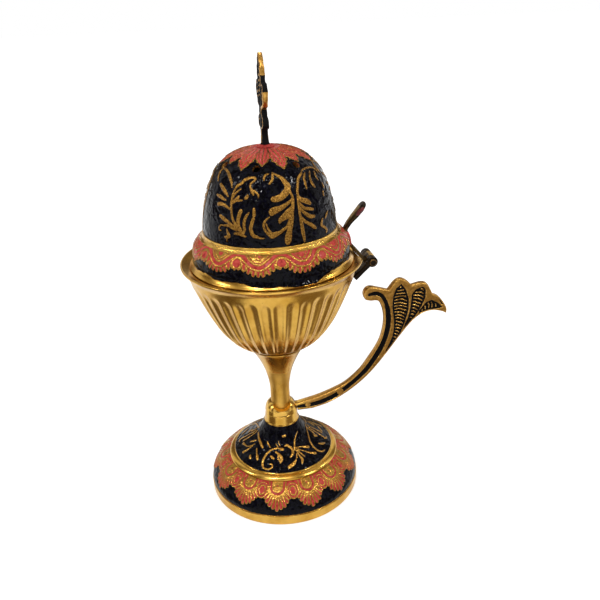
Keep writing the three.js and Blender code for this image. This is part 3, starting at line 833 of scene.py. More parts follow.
# Brush strokes on the foot's cone: azimuth, run above the ring, half width
FOOT_STROKES = [
    [(258.7, 12.8, .35), (250, 12.9, .4), (240.7, 11.7, .5), (236, 9.8, .55), (233.5, 7.7, .6),
     (232.8, 5.5, .65), (233.8, 3.5, .6), (236.5, 1.9, .5), (240.5, 1.3, .45), (245, 1.8, .4),
     (247.6, 3, .4), (246.3, 4.3, .35), (243.5, 4.2, .3)],
    [(248.5, 11, .3), (254, 10, .6), (258.5, 8.4, .75), (259.5, 6.5, .6), (257.5, 5.2, .3)],
    [(254, 9.6, .5), (254.5, 7.8, .35), (256.5, 6, .25)],
    [(242.5, 8.4, .5), (247, 7.4, .65)],
    [(258.4, 12.6, .75), (261.2, 12.4, .8)],
    [(263, 19.2, .5), (269, 19.4, .65)],
    [(247, 15.2, .2), (252, 13.6, .25)],
    [(252, 16.6, .2), (256, 14.4, .25)],
    [(266, 14, .3), (271, 14.4, .55), (276, 13, .6), (278.8, 11.5, .6), (277.3, 9.2, .65),
     (272.5, 7.7, .35)],
    [(282.5, 11, .45), (288, 15, .4), (297, 17.8, .3), (306.7, 19.4, .2)],
    [(286, 12.1, .3), (296, 11.4, .3), (303, 10.3, .65), (307.5, 9.4, .8)],
    [(287, 11.4, .25), (297, 8.6, .3), (305, 6, .5), (310.2, 4.6, .75)],
    [(286.5, 10.8, .25), (290, 8.5, .3), (293.2, 6.1, .35)],
    [(285.2, 10.4, .3), (286.5, 7.5, .4), (288.3, 5, .65), (285.5, 3, .4)],
    [(283.8, 8.8, .3), (280, 6, .35), (275, 4.1, .9), (269, 2.8, .9)],
    [(353.5, 17.6, .3), (335, 15, .35), (320.2, 11.6, .45), (316, 8.2, .5), (316.3, 5.1, .5),
     (320, 2.8, .45), (325.6, 2, .3)],
    [(352, 15, .3), (350, 10, .4), (347.5, 3.8, .55), (352, 3, .35)],
    [(358, 16, .3), (358, 11, .4), (356, 6, .6)],
    [(346, 16.5, .3), (345, 13, .4), (342, 11, .5)],
    [(338, 10.4, .6), (341, 9.4, .7)],
    [(328, 6.6, .35), (332, 5, .6), (337, 3.6, .4)],
    [(186.7, 16.1, .5), (200, 14.6, .6), (213, 13.2, .7), (222.7, 11.6, .6)],
    [(181.6, 5.5, .7), (189, 6.4, .4), (196.3, 7.6, .3), (203, 11, .25)],
    [(196.6, 3.5, .75), (199.5, 6.5, .4), (202, 9.6, .3)],
    [(190, 9.6, .3), (195, 11.4, .6), (199, 12.8, .35)],
    [(210.7, 4.8, .5), (212, 3.9, .65), (214, 3.5, .4)],
    [(213.1, 9.6, .4), (218, 7.6, .4), (222, 6, .8), (224.5, 4.8, .5)],
    [(226, 15.4, .3), (232, 14, .35), (237, 12.9, .3)],
]


def make_foot():
    turning = foot_turning()
    dome = turning.rows("dome")
    gold = np.full(turning.shape, FAR)
    gold[dome] = turning.strokes("dome", (FOOT_STROKES, (0, 180)))
    bare = turning.depth_inside("rim", "ring", "groove", "neck", "top", "inner")
    relief = (0.26 * ramp(gold, 0.5) + hammered(turning.surface, 5)) * ramp(-bare + 0.5, 0.8)
    foot = turning.make("foot_casting", np.where(turning.band("dome"), relief, 0))
    turning.write(foot, gold=gold, coral=FAR, bare=bare, raw=turning.band("inner", "top"))
    dress(foot, "stand", "enamelled_brass", "foot")

    turning = border_turning(foot_slope(), (-0.7, -0.55))
    uneven = 0.5 * value_noise(turning.surface, 4.0, 11)
    run = turning.local[:, None]
    gold, coral = foot_palmettes(turning.azimuth + uneven, run + 0.3 * uneven, turning.outline[:, :1])
    outside = turning.band("outside")
    edge = np.minimum(run, run[outside].max() - run)
    make_border("foot_border", "stand", "foot", turning, gold, coral,
                np.where(outside, run - 0.3, 1), share_of(edge / 0.8), 9)


# Stem

STEM_FLARE = [[.1, .245], [.29, .49], [.57, .735], [.86, .925]]


def make_stem():
    flare = between((5.1, 59), (14.4, 83.5), STEM_FLARE)
    inner = between((3.5, 59), (12.8, 83.5), STEM_FLARE)[::-1]
    turning = Turning([
        ("outer", [(5.0, 46.5), (5.25, 46.75),
                   *spline([(5.2, 48), (5.05, 53), (5.1, 59), *flare, (14.35, 83.1)], 8)], 0.6),
        ("top", [(14.3, 83.5), (12.9, 83.5)], 0.8),
        ("inner", [(12.7, 83.3), *spline([*inner, (3.5, 59), (3.5, 50), (3.5, 46.6)], 4)], 1.6),
    ], 160)
    stem = turning.make("stem_trumpet", 0.05 * value_noise(turning.surface, 7, 3))
    turning.write(stem, raw=turning.band("inner"), matte=ramp(turning.surface[..., 2] - 68, 6))
    dress(stem, "stand", "polished_brass", "stem")


# Bowl

BOWL_WALL = [[.224, .085], [.43, .2], [.59, .343], [.73, .52], [.85, .696], [.94, .848]]
FLUTES, FLUTE_DEPTH, FLUTE_LOW, FLUTE_HIGH = 40, 1.15, 88.8, 123.3


def bowl_wall(steps):
    shares = between((14, 83.8), (40.8, 126.5), BOWL_WALL)
    return spline([(14, 84.1), *shares, (40.8, 126.4)], steps)


def bowl_depth(turning):
    """How deep the flutes are cut into the bowl's wall."""
    phase = (turning.azimuth / 360 * FLUTES) % 1
    z = turning.outline[:, 1:2]
    into_end = np.maximum((FLUTE_LOW + 4 - z) / 4, (z - FLUTE_HIGH + 5.5) / 5.5)
    into_end = np.clip(into_end, 0, 1.3)
    rise = 1 - (2 * phase - 1) ** 2 - into_end ** 2
    depth = FLUTE_DEPTH * 0.5 * (rise + np.sqrt(rise ** 2 + 0.03)) * ramp(into_end - 1.1, 0.3)
    depth = np.where(turning.band("wall") & (z > FLUTE_LOW - 2), depth, 0)
    for shift in (1, 2):
        depth = (np.roll(depth, shift, axis=1) + 2 * depth + np.roll(depth, -shift, axis=1)) / 4
    return depth


def make_bowl():
    wall = bowl_wall(10)
    inside = between((11.3, 86.4), (38.1, 124.5), BOWL_WALL)[::-1]
    turning = Turning([
        ("wall", wall, 0.62),
        ("lip", [*spline([(41.05, 126.9), (42.1, 128.3), (43.0, 129.2), (43.7, 129.6)], 6),
                 (43.9, 129.8), (43.9, 130.55), (43.65, 130.8), (43.1, 130.8)], 0.4),
        ("dish", [(42.9, 130.65), (38.95, 129.25), (35.8, 129.2)], 0.8),
        ("inner", [(35.8, 126.9), (38.1, 124.6), *spline([*inside, (11.6, 86.6)], 6)], 1.4),
        ("floor", [(11.2, 86.4), (2.3, 86.4), (2.3, 83.8), (13.7, 83.8)], 2.4),
    ], 640, soften=0.16)
    push = 0.04 * value_noise(turning.surface, 8, 21) - 0.045 - bowl_depth(turning)
    bowl = turning.make("bowl_casting", push)
    turning.write(bowl, raw=turning.band("inner", "floor"), matte=0)
    notch = box_piece((40.4, 50), (-18.3, 18.3), (123, 134))
    keep = Turning([("outer", [(1, 80), *wall, (40.9, 129)], 2.0), ("axis", [(1, 129)], 4)], 120,
                   soften=0.05).make("bowl_side")
    combine("DIFFERENCE", notch, keep)
    combine("DIFFERENCE", bowl, notch)
    sharpen(bowl, 38)
    dress(bowl, "stand", "polished_brass", "bowl")


# Lid

DOME = [[.028, .175], [.077, .344], [.149, .513], [.258, .682], [.427, .837], [.698, .949], [1, 1]]
DOME_LOW, DOME_HIGH = (31.3, 147.8), (6.5, 183.3)
WAVES, WAVE_AT, WAVE_SPAN = 11, 253.6, math.radians(31.3)
CROWN_PETALS, CROWN_AT = 14, 257.5
HOLES, HOLE_RADIUS, HOLE_FIRST, HOLE_TILT, HOLE_CENTRE = 7, 1.7, 3.473, 0.95, (20.22, 0, 177.8)
PLANT_TURNS = (0, 131, 262)
LID_LOW = 129.5


def lid_outside():
    return np.vstack([
        spline([(38.9, 129.4), (39.25, 129.6), (39.2, 129.95), (38.7, 130.5), (38.15, 131.3),
                (37.8, 132.2), (37.62, 132.75)], 5)[:-1],
        spline([(37.6, 132.8), (37.5, 134.5), (37.3, 136.8), (36.95, 138.5), (36.4, 139.9),
                (35.5, 141.3), (34.5, 142.5), (33.7, 143.35)]),
        spline([(33.45, 143.65), (32.9, 144.1), (32.4, 144.65), (32.05, 145.3), (31.9, 146.2)],
               6)])


def lid_turning():
    dome = [(31.45, 146.2), (31.3, 148.0), *between(DOME_LOW, DOME_HIGH, DOME)]
    inner = between((29.1, 147.8), (6.5, 181.1), DOME)[::-1]
    return Turning([
        ("under", [(37.6, 129.6), (37.1, 133.0), (36.8, 136.8), (36.3, 138.4), (34.9, 140.9),
                   (32.9, 143.1), (31.45, 144.9)], 1.2),
        ("dome", spline(dome), 0.4),
        ("crown", [(6.2, 183.3), (2.3, 183.3), (2.3, 181.1), (6.5, 181.1)], 1.5),
        ("inner", [*spline([*inner, (29.1, 146.4)], 4), (31.0, 143.2), (33.6, 139.9),
                   (35.0, 137.2), (35.2, 129.5)], 2.0),
    ], 560)


def lid_band(azimuth, height, radius):
    """Fields of the waved border on the lid's band, between its flange and its cove."""
    around = azimuth - WAVE_AT
    turn = WAVES * (around + 2.6 * np.sin(np.radians(around))) / 360
    which = np.round(turn)
    u = turn - which
    wave = 2 * np.pi * u
    x, aside = u * WAVE_SPAN * radius, (0.5 - np.abs(u)) * WAVE_SPAN * radius
    y = height + 0.09 * np.maximum(height - 6, 0)
    slope = 2.6 * TAU / 20.2 * np.sin(wave)
    off = (y - 12.55 + 2.6 * np.cos(wave)) / np.sqrt(1 + slope ** 2)
    rich = share_of((64 - np.abs((azimuth + 180) % 360 - 180)) / 10)
    rich = np.maximum(rich, share_of((9 - np.abs(azimuth - 199)) / 6))
    spread = 9.6
    tooth, across, reach = fan(x, 21.0 - y, spread)
    hem = 13.75 + 1.6 * np.cos(wave)
    end = hem / np.cos(np.radians(tooth * spread)) + 0.5 * scatter(tooth + 17 * which)
    width = 0.46 + 0.2 * rich + 0.1 * scatter(tooth * 3 + which)
    core, rimmed = feather_fields(across, reach, end, width, 0.34)
    bud = oval(aside, y - 11.5, 1.95, 1.7, 1.75)
    side = oval(aside - 3.7, y - 10.4, 0.62, 1.5, 0.8)
    gold = least(rimmed, reach - end + 1.3, side - 0.4)
    blade = most(core, off + 1.45, 0.6 - bud, 0.5 - side, 9.9 - reach)
    stripe = np.abs(off) - 0.74
    bud, side = most(bud, off + 1.2), most(side, off + 1.2)
    hairline = np.abs(off - 1.75) - 0.15
    dot = np.hypot(x, y - 14.3)
    ring_dot = least(dot - 0.62, np.abs(dot - 1.35) - 0.14)
    small_dot = oval(x, y - 14.3, 1.3, 0.9, 0.9)
    veins = least(np.abs(off - 2.7) - 0.16, np.abs(np.abs(x) - 1.1 - 0.3 * (y - 13)) - 0.13)
    veins = np.where(rich > 0.5, np.abs(off - 2.6) - 0.17, veins)
    lobe = most(1.55 - off, y - 16.0, np.abs(x) - 4.4, -veins)
    lobe = np.where(which == -1, least(small_dot, hairline), lobe)
    lobe = np.where(which == 0, least(ring_dot, hairline), lobe)
    streaks = most(np.abs(off + 1.75) - 0.16 - 0.3 * rich, 0.45 - bud)
    return gold, least(stripe, blade, bud, side, lobe, streaks)


# Brush strokes on the dome: azimuth, run above the dome's foot, half width
PLANT_A = [
    [(204.1, 25, .33), (201.4, 26.7, .58), (200.2, 28.9, .67), (202.6, 30.7, .46), (208.3, 30.8, .5),
     (215.5, 29.5, .71), (220.9, 27.6, .75), (225.1, 25.3, .58), (226.9, 23.5, .33)],
    [(239.5, 4.1, .62), (237.4, 5.9, .62), (234.1, 8, .62), (231.7, 9.7, .62), (230.2, 11.7, .54),
     (229.3, 14.2, .54), (228.7, 16.3, .58), (229, 18.4, .58), (229, 20.3, .46), (229.9, 22, .38)],
    [(229.9, 22, .38), (231.1, 23.2, .46), (233.5, 24.7, .62), (236.8, 25.6, .62), (239.5, 27.1, .71),
     (243.1, 27.8, .62), (246.4, 28.3, .54), (249.7, 28.3, .54), (250.9, 27.7, .46), (249.4, 26.7, .46),
     (247.3, 26, .42), (245.8, 25.2, .33), (246.7, 23.8, .46), (248.2, 22.4, .71), (249.7, 20.9, .38)],
    [(250, 22.7, .38), (252.4, 21.7, .46), (254.2, 20.7, .42), (254.2, 19.7, .21)],
    [(237.4, 23.2, .21), (234.4, 22.3, .42), (231.7, 20.9, .46), (229.9, 19.4, .38)],
    [(230.2, 17.3, .67), (233.2, 18.4, .83), (235.3, 19.6, .62), (235.3, 20, .33)],
    [(235.3, 18.2, .5), (239.5, 18.4, .29)],
    [(242.5, 19.4, .67), (244.3, 20.3, .62), (244, 20.9, .33)],
    [(210.7, 23.9, .67), (216.4, 22.3, .96), (220.9, 20.8, .75), (224.5, 19.4, .29)],
    [(209.8, 19.2, .54), (214.9, 18.8, .75), (218.5, 18.2, .67), (222.7, 17.7, .29)],
    [(213.7, 15.4, .83), (217.3, 15.8, .83), (221.2, 15.6, .75), (224.8, 14.9, .58), (227.8, 14.2, .38)],
    [(217.9, 10.7, .75), (222.1, 9.6, .88), (226.3, 8.8, .75), (230.2, 7.7, .58), (234.4, 6.6, .42)],
    [(223.3, 6.6, .25), (220, 6.9, .33), (217.3, 5.9, .38), (217, 4.6, .33), (219.7, 4.4, .21)],
    [(223.3, 7.1, .42), (227.8, 6.9, .46), (231.1, 6.2, .46), (235.3, 5.4, .38)],
    [(225.4, 5.6, .25), (226.6, 3.9, .71), (227.8, 2.6, .83), (224.8, 1.9, .67), (223, 2, .29)],
    [(225.7, 1.6, .42), (225.4, .2, .21)],
    [(238.6, 13.9, .88), (237.1, 12.1, .83), (236.5, 9.8, .83), (236.8, 7.7, .83), (238.9, 5.9, .62)],
    [(246.1, 13.4, .29), (244, 12.2, .58), (242.2, 10.1, .67), (241.6, 7.9, .67), (242.2, 6.2, .58),
     (241, 4.7, .54)],
    [(250.3, 14.9, .62), (250.3, 12.4, .75)],
    [(249.7, 11, .62), (248.5, 9.1, .75), (247.3, 7, .75), (247.9, 5.2, .83), (249.4, 3.7, .83),
     (252.4, 3.1, .58), (255.7, 2.5, .33), (258.4, 2.6, .17)],
    [(233.2, 4, .46), (237.1, 4.1, .62), (240.7, 3.6, .62), (243.1, 3.1, .29)],
]
PLANT_B = [
    [(259.6, 27.1, .38), (260.2, 28.6, .5), (262.3, 29.5, .5), (265, 29.9, .25)],
    [(268.6, 29.5, .38), (268.6, 27.8, .54), (267.1, 26.5, .54), (264.7, 25.3, .33)],
    [(268.9, 30.1, .33), (273.4, 28.9, .54), (277.9, 27.4, .88), (280.6, 25.4, 1.17), (282.1, 23.7, 1.33),
     (280.9, 21.8, 1.42), (278.2, 20.7, 1.5), (274.3, 19.4, 1.42), (270.1, 18.8, 1.33),
     (267.4, 18.8, 1.17)],
    [(283.3, 22.4, .25), (284.2, 20.2, .5), (284.8, 18.4, .62), (284.2, 16.3, .71), (283.3, 14.3, .79),
     (282.1, 12.2, .88), (281.2, 9.8, .92), (280, 7.4, 1), (278.8, 5.4, 1.08), (277.6, 3.2, 1.42),
     (276.7, 1.1, 1.58), (276.4, -.1, 1.08)],
    [(283.9, 17.8, .5), (280, 16.6, .71), (277, 15.8, .88), (273.1, 14.9, 1.08), (268.6, 14.2, 1.42),
     (265.9, 13.7, 1.54), (265, 13, 1.08)],
    [(282.7, 14.3, .92), (279.7, 12.8, 1.42), (277, 11.5, 1.5), (274, 10.6, 1.25), (271.6, 9.7, .88),
     (271, 8.6, .29)],
    [(279.4, 10, .33), (278.8, 8.6, .67), (277, 6.9, .58), (274, 5.8, .67), (270.7, 4.7, .75),
     (267.1, 4, 1.12), (264.4, 3.2, .96), (262, 4, .67), (259.3, 5.5, .5), (258.1, 7.3, .5),
     (258.1, 8.8, .46), (259.6, 10.1, .42), (262.9, 11.5, .25)],
    [(259.9, 8.8, .25), (261.4, 6.6, .38), (263.8, 4.7, .5), (265.9, 4.3, .42)],
]
PLANT_C = [
    [(301.9, 28, .62), (296.2, 26.3, .62), (293.5, 24.2, .58), (291.4, 21.8, .58), (290.5, 19.7, .62),
     (291.1, 17.9, .83), (294.7, 16.6, 1.08), (298.9, 15.6, 1.17), (300.7, 14.7, .83)],
    [(303.4, 28.9, .25), (308.2, 29.5, .38), (317.8, 29.5, .46), (325, 28.6, .46), (328.3, 26.9, .5),
     (328.9, 25.7, .29)],
    [(307, 27.8, .33), (302.8, 25.7, .58), (301.9, 23.5, .67), (301.6, 21.2, .42)],
    [(315.4, 27.8, .29), (311.5, 25.7, .54), (310.3, 23.2, .71), (311.5, 21.6, .75), (312.7, 20.5, .29)],
    [(322.6, 26.8, .42), (321.1, 24.7, .58), (321.7, 22.9, .29)],
    [(289.9, 18.7, .42), (289, 16, .46), (289, 13.2, .5), (289, 10.3, .62), (289.3, 7.7, .75),
     (289.6, 5.5, .83), (289.9, 2.8, .83), (290.5, .6, .67), (290.5, -1.1, .33)],
    [(289.3, 16.7, .33), (291.4, 15.1, .5), (294.1, 13.4, .67), (298, 12.6, .71), (302.8, 11.9, .62)],
    [(289.6, 14.2, .33), (292, 12.2, .58), (295, 10.6, .83), (298.9, 9.2, .92), (302.8, 8.8, .71)],
    [(288.7, 11.7, .33), (290.2, 9.4, .58), (293.5, 7.4, .67), (297.4, 5.9, .79), (301.3, 4.3, .83),
     (303.1, 3.4, .38)],
    [(327.1, 20.8, .46), (328, 19.4, .58), (326.5, 18.7, .29)],
    [(322.9, 17.5, .38), (322, 15.8, .5)],
    [(321.7, 8.5, .33), (318.1, 7, .58), (316, 6.1, .29)],
    [(312.4, 6.4, .42), (310.3, 4.7, .75), (310.3, 3.6, .67), (313.6, 2.4, .62), (316.6, .7, .58),
     (314.8, -.4, .29)],
]


def crown_petals(azimuth, run, radius):
    """Fields of the coral petals that hang from the crown, edged and veined with gold."""
    which, x, aside = repeated(azimuth, CROWN_AT, CROWN_PETALS, radius)
    y = run - np.where(which % 2 == 0, 33.6, 31.2)
    half = np.interp(y, [0, 0.8, 2, 3, 4.2, 5.4, 7, 9], [0, 0.75, 1.7, 2.3, 2.9, 3.35, 3.7, 4.2])
    half = half * (1 + 0.12 * np.cos(np.pi * y / 1.3))
    petal = most((np.abs(x) - half) * 0.8, -y)
    whole = least(petal, 41.5 - run)
    edge = np.abs(petal + 0.16) - 0.32
    notch = most(np.abs(aside) - 0.2, 38 - run)
    rib = most(np.abs(x) - 0.2, 2.2 - y)
    vein = most(np.abs(np.abs(x) - 0.42 * half - 0.1) - 0.17, 3.4 - y)
    lines = most(least(edge, notch, rib, vein), run - 47.5)
    return least(whole, edge), most(whole, -lines)


def drill_holes(lid):
    """Smoke holes, drilled square to the dome."""
    for index in range(HOLES):
        drill = rod_piece(HOLE_CENTRE, HOLE_RADIUS, 5.0, turn=HOLE_FIRST + TAU * index / HOLES,
                          axis=(math.sin(HOLE_TILT), 0, math.cos(HOLE_TILT)))
        write(drill, gold=2, coral=2, bare=2)
        combine("DIFFERENCE", lid, drill)


def make_lid():
    turning = lid_turning()
    dome = turning.rows("dome")
    turning.local[dome] -= 1.8
    gold, coral = np.full(turning.shape, FAR), np.full(turning.shape, FAR)
    plants = turning.strokes("dome", (PLANT_A, PLANT_TURNS), (PLANT_B, PLANT_TURNS),
                             (PLANT_C, PLANT_TURNS[:2]))
    uneven = 0.5 * value_noise(turning.surface[dome], 4.5, 31)
    crown, coral[dome] = crown_petals(turning.azimuth + 2 * uneven,
                                      turning.local[dome][:, None] + 0.6 * uneven,
                                      turning.outline[dome, :1])
    gold[dome] = least(plants, crown)
    coral[turning.rows("crown")] = -1
    relief = 0.26 * ramp(gold, 0.5) - 0.16 * ramp(coral, 0.35) + hammered(turning.surface, 7)
    lid = turning.make("lid_casting", np.where(turning.band("dome"), relief, 0))
    inner = turning.band("inner")
    turning.write(lid, gold=gold, coral=coral, bare=np.where(inner, -1, 1), raw=inner, worn=1)
    drill_holes(lid)
    sharpen(lid, 50)
    dress(lid, "lid_assembly", "enamelled_brass", "lid")

    turning = border_turning(lid_outside(), (-0.9, 0.15))
    uneven = 0.5 * value_noise(turning.surface, 4.5, 33)
    height = turning.outline[:, 1:2] - LID_LOW
    gold, coral = lid_band(turning.azimuth + 1.2 * uneven, height + 0.5 * uneven,
                           turning.outline[:, :1])
    level = turning.surface * (1, 1, 0)
    ragged = 0.75 * value_noise(level, 9, 35) + 0.3 * value_noise(level, 2.4, 36)
    facing = np.abs((turning.azimuth - 272 + 90) % 180 - 90)
    low = 3.0 - 2.0 * share_of((34 - facing) / 16)
    bare = np.where(turning.band("outside"), least(height - low - ragged, 14.15 - height), -1)
    make_border("lid_border", "lid_assembly", "lid", turning, gold, coral, bare,
                ramp(0.5 - bare, 0.8), 15)


# Handle

HANDLE_LOW, HANDLE_HIGH = (0, 41.9), (90.4, 111.9)
ARM_UNDER = [[.19, .0], [.293, .035], [.397, .103], [.492, .192], [.569, .29], [.65, .42], [.729, .555],
             [.796, .655], [.855, .707], [.915, .72], [.971, .702], [.999, .682]]
THIRD_PETAL = [[.999, .725], [.979, .776], [.946, .829], [.91, .853]]
SECOND_PETAL = [[.897, .89], [.873, .943], [.84, .954], [.808, .948], [.784, .941]]
FIRST_PETAL = [[.759, .976], [.729, 1], [.7, .999], [.676, .976], [.645, .925]]
CURL = [[.595, .946], [.546, .964], [.517, .955], [.501, .917], [.511, .87], [.542, .854]]
INNER_EDGE = [[.581, .85], [.601, .821], [.618, .759], [.624, .69], [.62, .621], [.604, .534],
              [.574, .454], [.531, .37], [.479, .279], [.392, .185], [.294, .13], [.208, .096], [.1, .068]]
# Sunk lines of reach, height and half width
SPINE = [(48.4, 105.3, .9), (51.5, 105.6, 1.1), (54.3, 104.4, 1.05), (56.3, 101.8, .95),
         (57.6, 98.2, 1.1), (58.4, 93.5, 1.35), (58.5, 88.8, 1.5), (57.6, 82.8, 1.6), (55.6, 76.4, 1.55),
         (53, 71, 1.5), (50.1, 66.6, 1.45), (46.6, 61.8, 1.4), (43.5, 58.7, 1.35)]
ARM_GROOVE = [(9.2, 44.3, .8), (12, 44.4, 1.1), (17, 44.6, 1.3), (22, 45.5, 1.4), (27, 47.2, 1.4),
              (32, 49.8, 1.35), (36.5, 52.9, 1.3), (40.5, 56.1, 1.3), (43.5, 58.7, 1.35)]
# Sunk fields of reach and height
PETAL_1 = [(65.1, 109), (62.5, 106.8), (61.1, 102.4), (60.8, 96.8), (61.8, 89.5), (61.9, 84.7),
           (61.3, 80.1), (59.1, 74.6), (56.6, 69.4), (60.6, 73.4), (64.5, 79.8), (67.2, 86.8),
           (69.1, 94.3), (69.1, 100.5), (67.4, 105.8)]
PETAL_2 = [(76.7, 106.3), (72.8, 105.1), (71.1, 102.6), (70.8, 97), (69.7, 90.4), (67.9, 86.3),
           (66.7, 82.4), (69, 84.9), (71.8, 88.5), (76, 95.3), (78.1, 100.3), (78.1, 104.5)]
PETAL_3 = [(82, 98.2), (78.9, 97.4), (76.9, 95), (75.2, 92.8), (75.9, 90.7), (79.4, 93.2), (84.3, 93.4),
           (87.6, 93.6), (85.3, 96.1)]
TIP_SPECK = [(87.4, 95.6), (86, 98.6), (87.1, 98), (88.6, 95.2)]
# Each petal's ribs: the way they are counted and the height at which they fade
RIBS = (((0.2, 1), 74), ((0.35, 1), 86), ((1, 0.15), 60))


def through(first, parts, low, high):
    """A line through parts given as shares, each smooth and joined to the last."""
    line = [np.asarray(first, float)]
    for shares in parts:
        line.append(spline(np.vstack([line[-1][-1:], between(low, high, shares)]), 8)[1:])
    return np.vstack(line)


def handle_outline():
    line = through([(2.4, 42.0), (17.2, 42.0)], (ARM_UNDER[1:], THIRD_PETAL, SECOND_PETAL,
                                                 FIRST_PETAL, CURL, INNER_EDGE),
                   HANDLE_LOW, HANDLE_HIGH)
    return np.vstack([line, [[2.4, 46.6]]])


def handle_inlay(flat):
    """Signed distance to the sunk fields, and how far each point stands on a rib inside one."""
    fields = [signed(flat, resampled(shape, 0.6, closed=True))
              for shape in (PETAL_1, PETAL_2, PETAL_3, TIP_SPECK)]
    groove = stroke_field(in_space(flat), [in_space(spline(line, 4)) for line in (SPINE, ARM_GROOVE)])
    x, z = flat.T
    gold_gap = least(np.hypot(x - 32.3, z - 50.2) - 1.8, np.hypot(x - 14.4, z - 44.6) - 1.4)
    inlay = least(least(*fields) - 0.28, most(groove, -gold_gap))
    inlay = most(inlay, 0.75 + signed(flat, resampled(handle_outline(), 0.5, closed=True)))
    ribs = np.zeros(len(flat))
    for field, (way, low) in zip(fields, RIBS):
        way = np.array(way) / np.hypot(*way)
        side = flat @ np.array([way[1], -way[0]])
        run = flat @ way + 0.12 * np.abs(side - side[field < 0].mean()) ** 1.5
        run = run + 0.35 * value_noise(in_space(flat), 2.0, 43)
        rib = share_of(np.cos(TAU * run / 1.8) * 2.2 - 1.0) * ramp(field + 0.7, 0.5)
        ribs = np.maximum(ribs, rib * share_of((z - low) / 6))
    return inlay, ribs


def handle_half(flat, from_edge):
    inlay, ribs = handle_inlay(flat)
    swell = 0.12 * value_noise(in_space(flat), 6, 41)
    sunk = 0.5 * ramp(inlay, 0.45) * (1 - 0.75 * ribs)
    return rounded_edge(from_edge, 1.9, 0.8) + swell * share_of(from_edge) * 0.5 - sunk - 0.06


def in_handle_plane(flat, height):
    return np.stack([flat[:, 0], -height, flat[:, 1]], 1)


def make_handle():
    extra = []
    for shape in (PETAL_1, PETAL_2, PETAL_3):
        line = resampled(shape, 0.4, closed=True)
        extra += [line + sideways(closed_steps(line)) * inset for inset in (0.5, 0.1, -0.5)]
    for shape in (SPINE, ARM_GROOVE):
        line = resampled(spline(shape, 6), 0.4)
        line, width = line[:, :2], line[:, 2:]
        normal = sideways(np.gradient(line, axis=0))
        extra += [line + side * normal * (width + shift) for shift in (-0.2, 0.2) for side in (-1, 1)]
    handle = plate("handle_casting", handle_outline(), handle_half, in_handle_plane, 0.33, extra)
    combine("UNION", handle, ball_piece((0, 0, 42.5), (8.45, 7.9, 8.1), 2.5))
    combine("DIFFERENCE", handle,
            *(ball_piece((0, y, 52.4), (6.2, 7.3, 6.1), 2.3) for y in (-8.2, 8.2)),
            box_piece((-20, 20), (-20, 20), (20, 41.85)),
            rod_piece((0, 0, 35), 8.85, 8.7, sides=96), rod_piece((0, 0, 56.2), 5.35, 10, sides=96),
            rod_piece((0, 0, 45), 2.3, 10))
    x, y, z = points_of(handle).T
    inlay, ribs = handle_inlay(np.column_stack([x, z]))
    inlay = np.where(np.abs(y) > 0.9, most(inlay, 1.4 * (ribs - 0.45)), 1.0)
    write(handle, inlay=inlay, coral=1, dull=0, shine=share_of((15 - np.hypot(x, y)) / 5))
    sharpen(handle, 40)
    dress(handle, "stand", "inlaid_brass", "handle")


# Finial

FINIAL_LOW, FINIAL_HIGH = (0, 184.6), (11.5, 223.0)
STALK = [[.2, 0], [.15, .08], [.22, .17]]
LOW_LOBE = [[.48, .18], [.68, .23], [.64, .31], [.4, .34]]
SIDE_LOBE = [[.36, .4], [.7, .43], [.96, .52], [1, .63], [.84, .7], [.58, .68]]
TOP_LOBE = [[.5, .76], [.42, .87], [.2, .96], [0, 1]]


def finial_outline():
    stalk = between(FINIAL_LOW, FINIAL_HIGH, STALK)
    lobes = through(stalk[-1:], (LOW_LOBE, SIDE_LOBE, TOP_LOBE), FINIAL_LOW, FINIAL_HIGH)
    right = np.vstack([spline(stalk, 8), lobes[1:]])
    return np.vstack([right, right[-2::-1] * (-1, 1)])


def finial_inlay(flat):
    """Sunk fields of the leaf: a tall middle one and one in each lobe."""
    y, z = np.abs(flat[:, 0]), flat[:, 1]
    inlay = least(oval(y, z - 210.2, 2.6, 8.6, 2.4),
                  oval(y - 7.0, z - 205.9 - 0.35 * (y - 7), 2.5, 3.6, 2.4),
                  oval(y - 4.9, z - 194.4, 1.6, 1.7, 1.5))
    rib = share_of(np.cos(TAU * (z + 0.5 * y) / 2.1) * 1.7 - 0.5)
    return inlay, rib * ramp(inlay + 0.7, 0.4)


def finial_half(flat, from_edge):
    inlay, ribs = finial_inlay(flat)
    z = flat[:, 1]
    beads = 0.14 * np.cos(TAU * (z - 200) / 7.6) + 0.1 * np.cos(TAU * z / 3.1)
    body = rounded_edge(from_edge, 1.55, 0.9) * np.interp(z, [190, 204, 216], [1, 0.8, 0.72])
    return body + beads * 0.5 - 0.4 * ramp(inlay, 0.4) * (1 - 0.8 * ribs)


def across_handle_plane(flat, height):
    return np.stack([height, flat[:, 0], flat[:, 1]], 1)


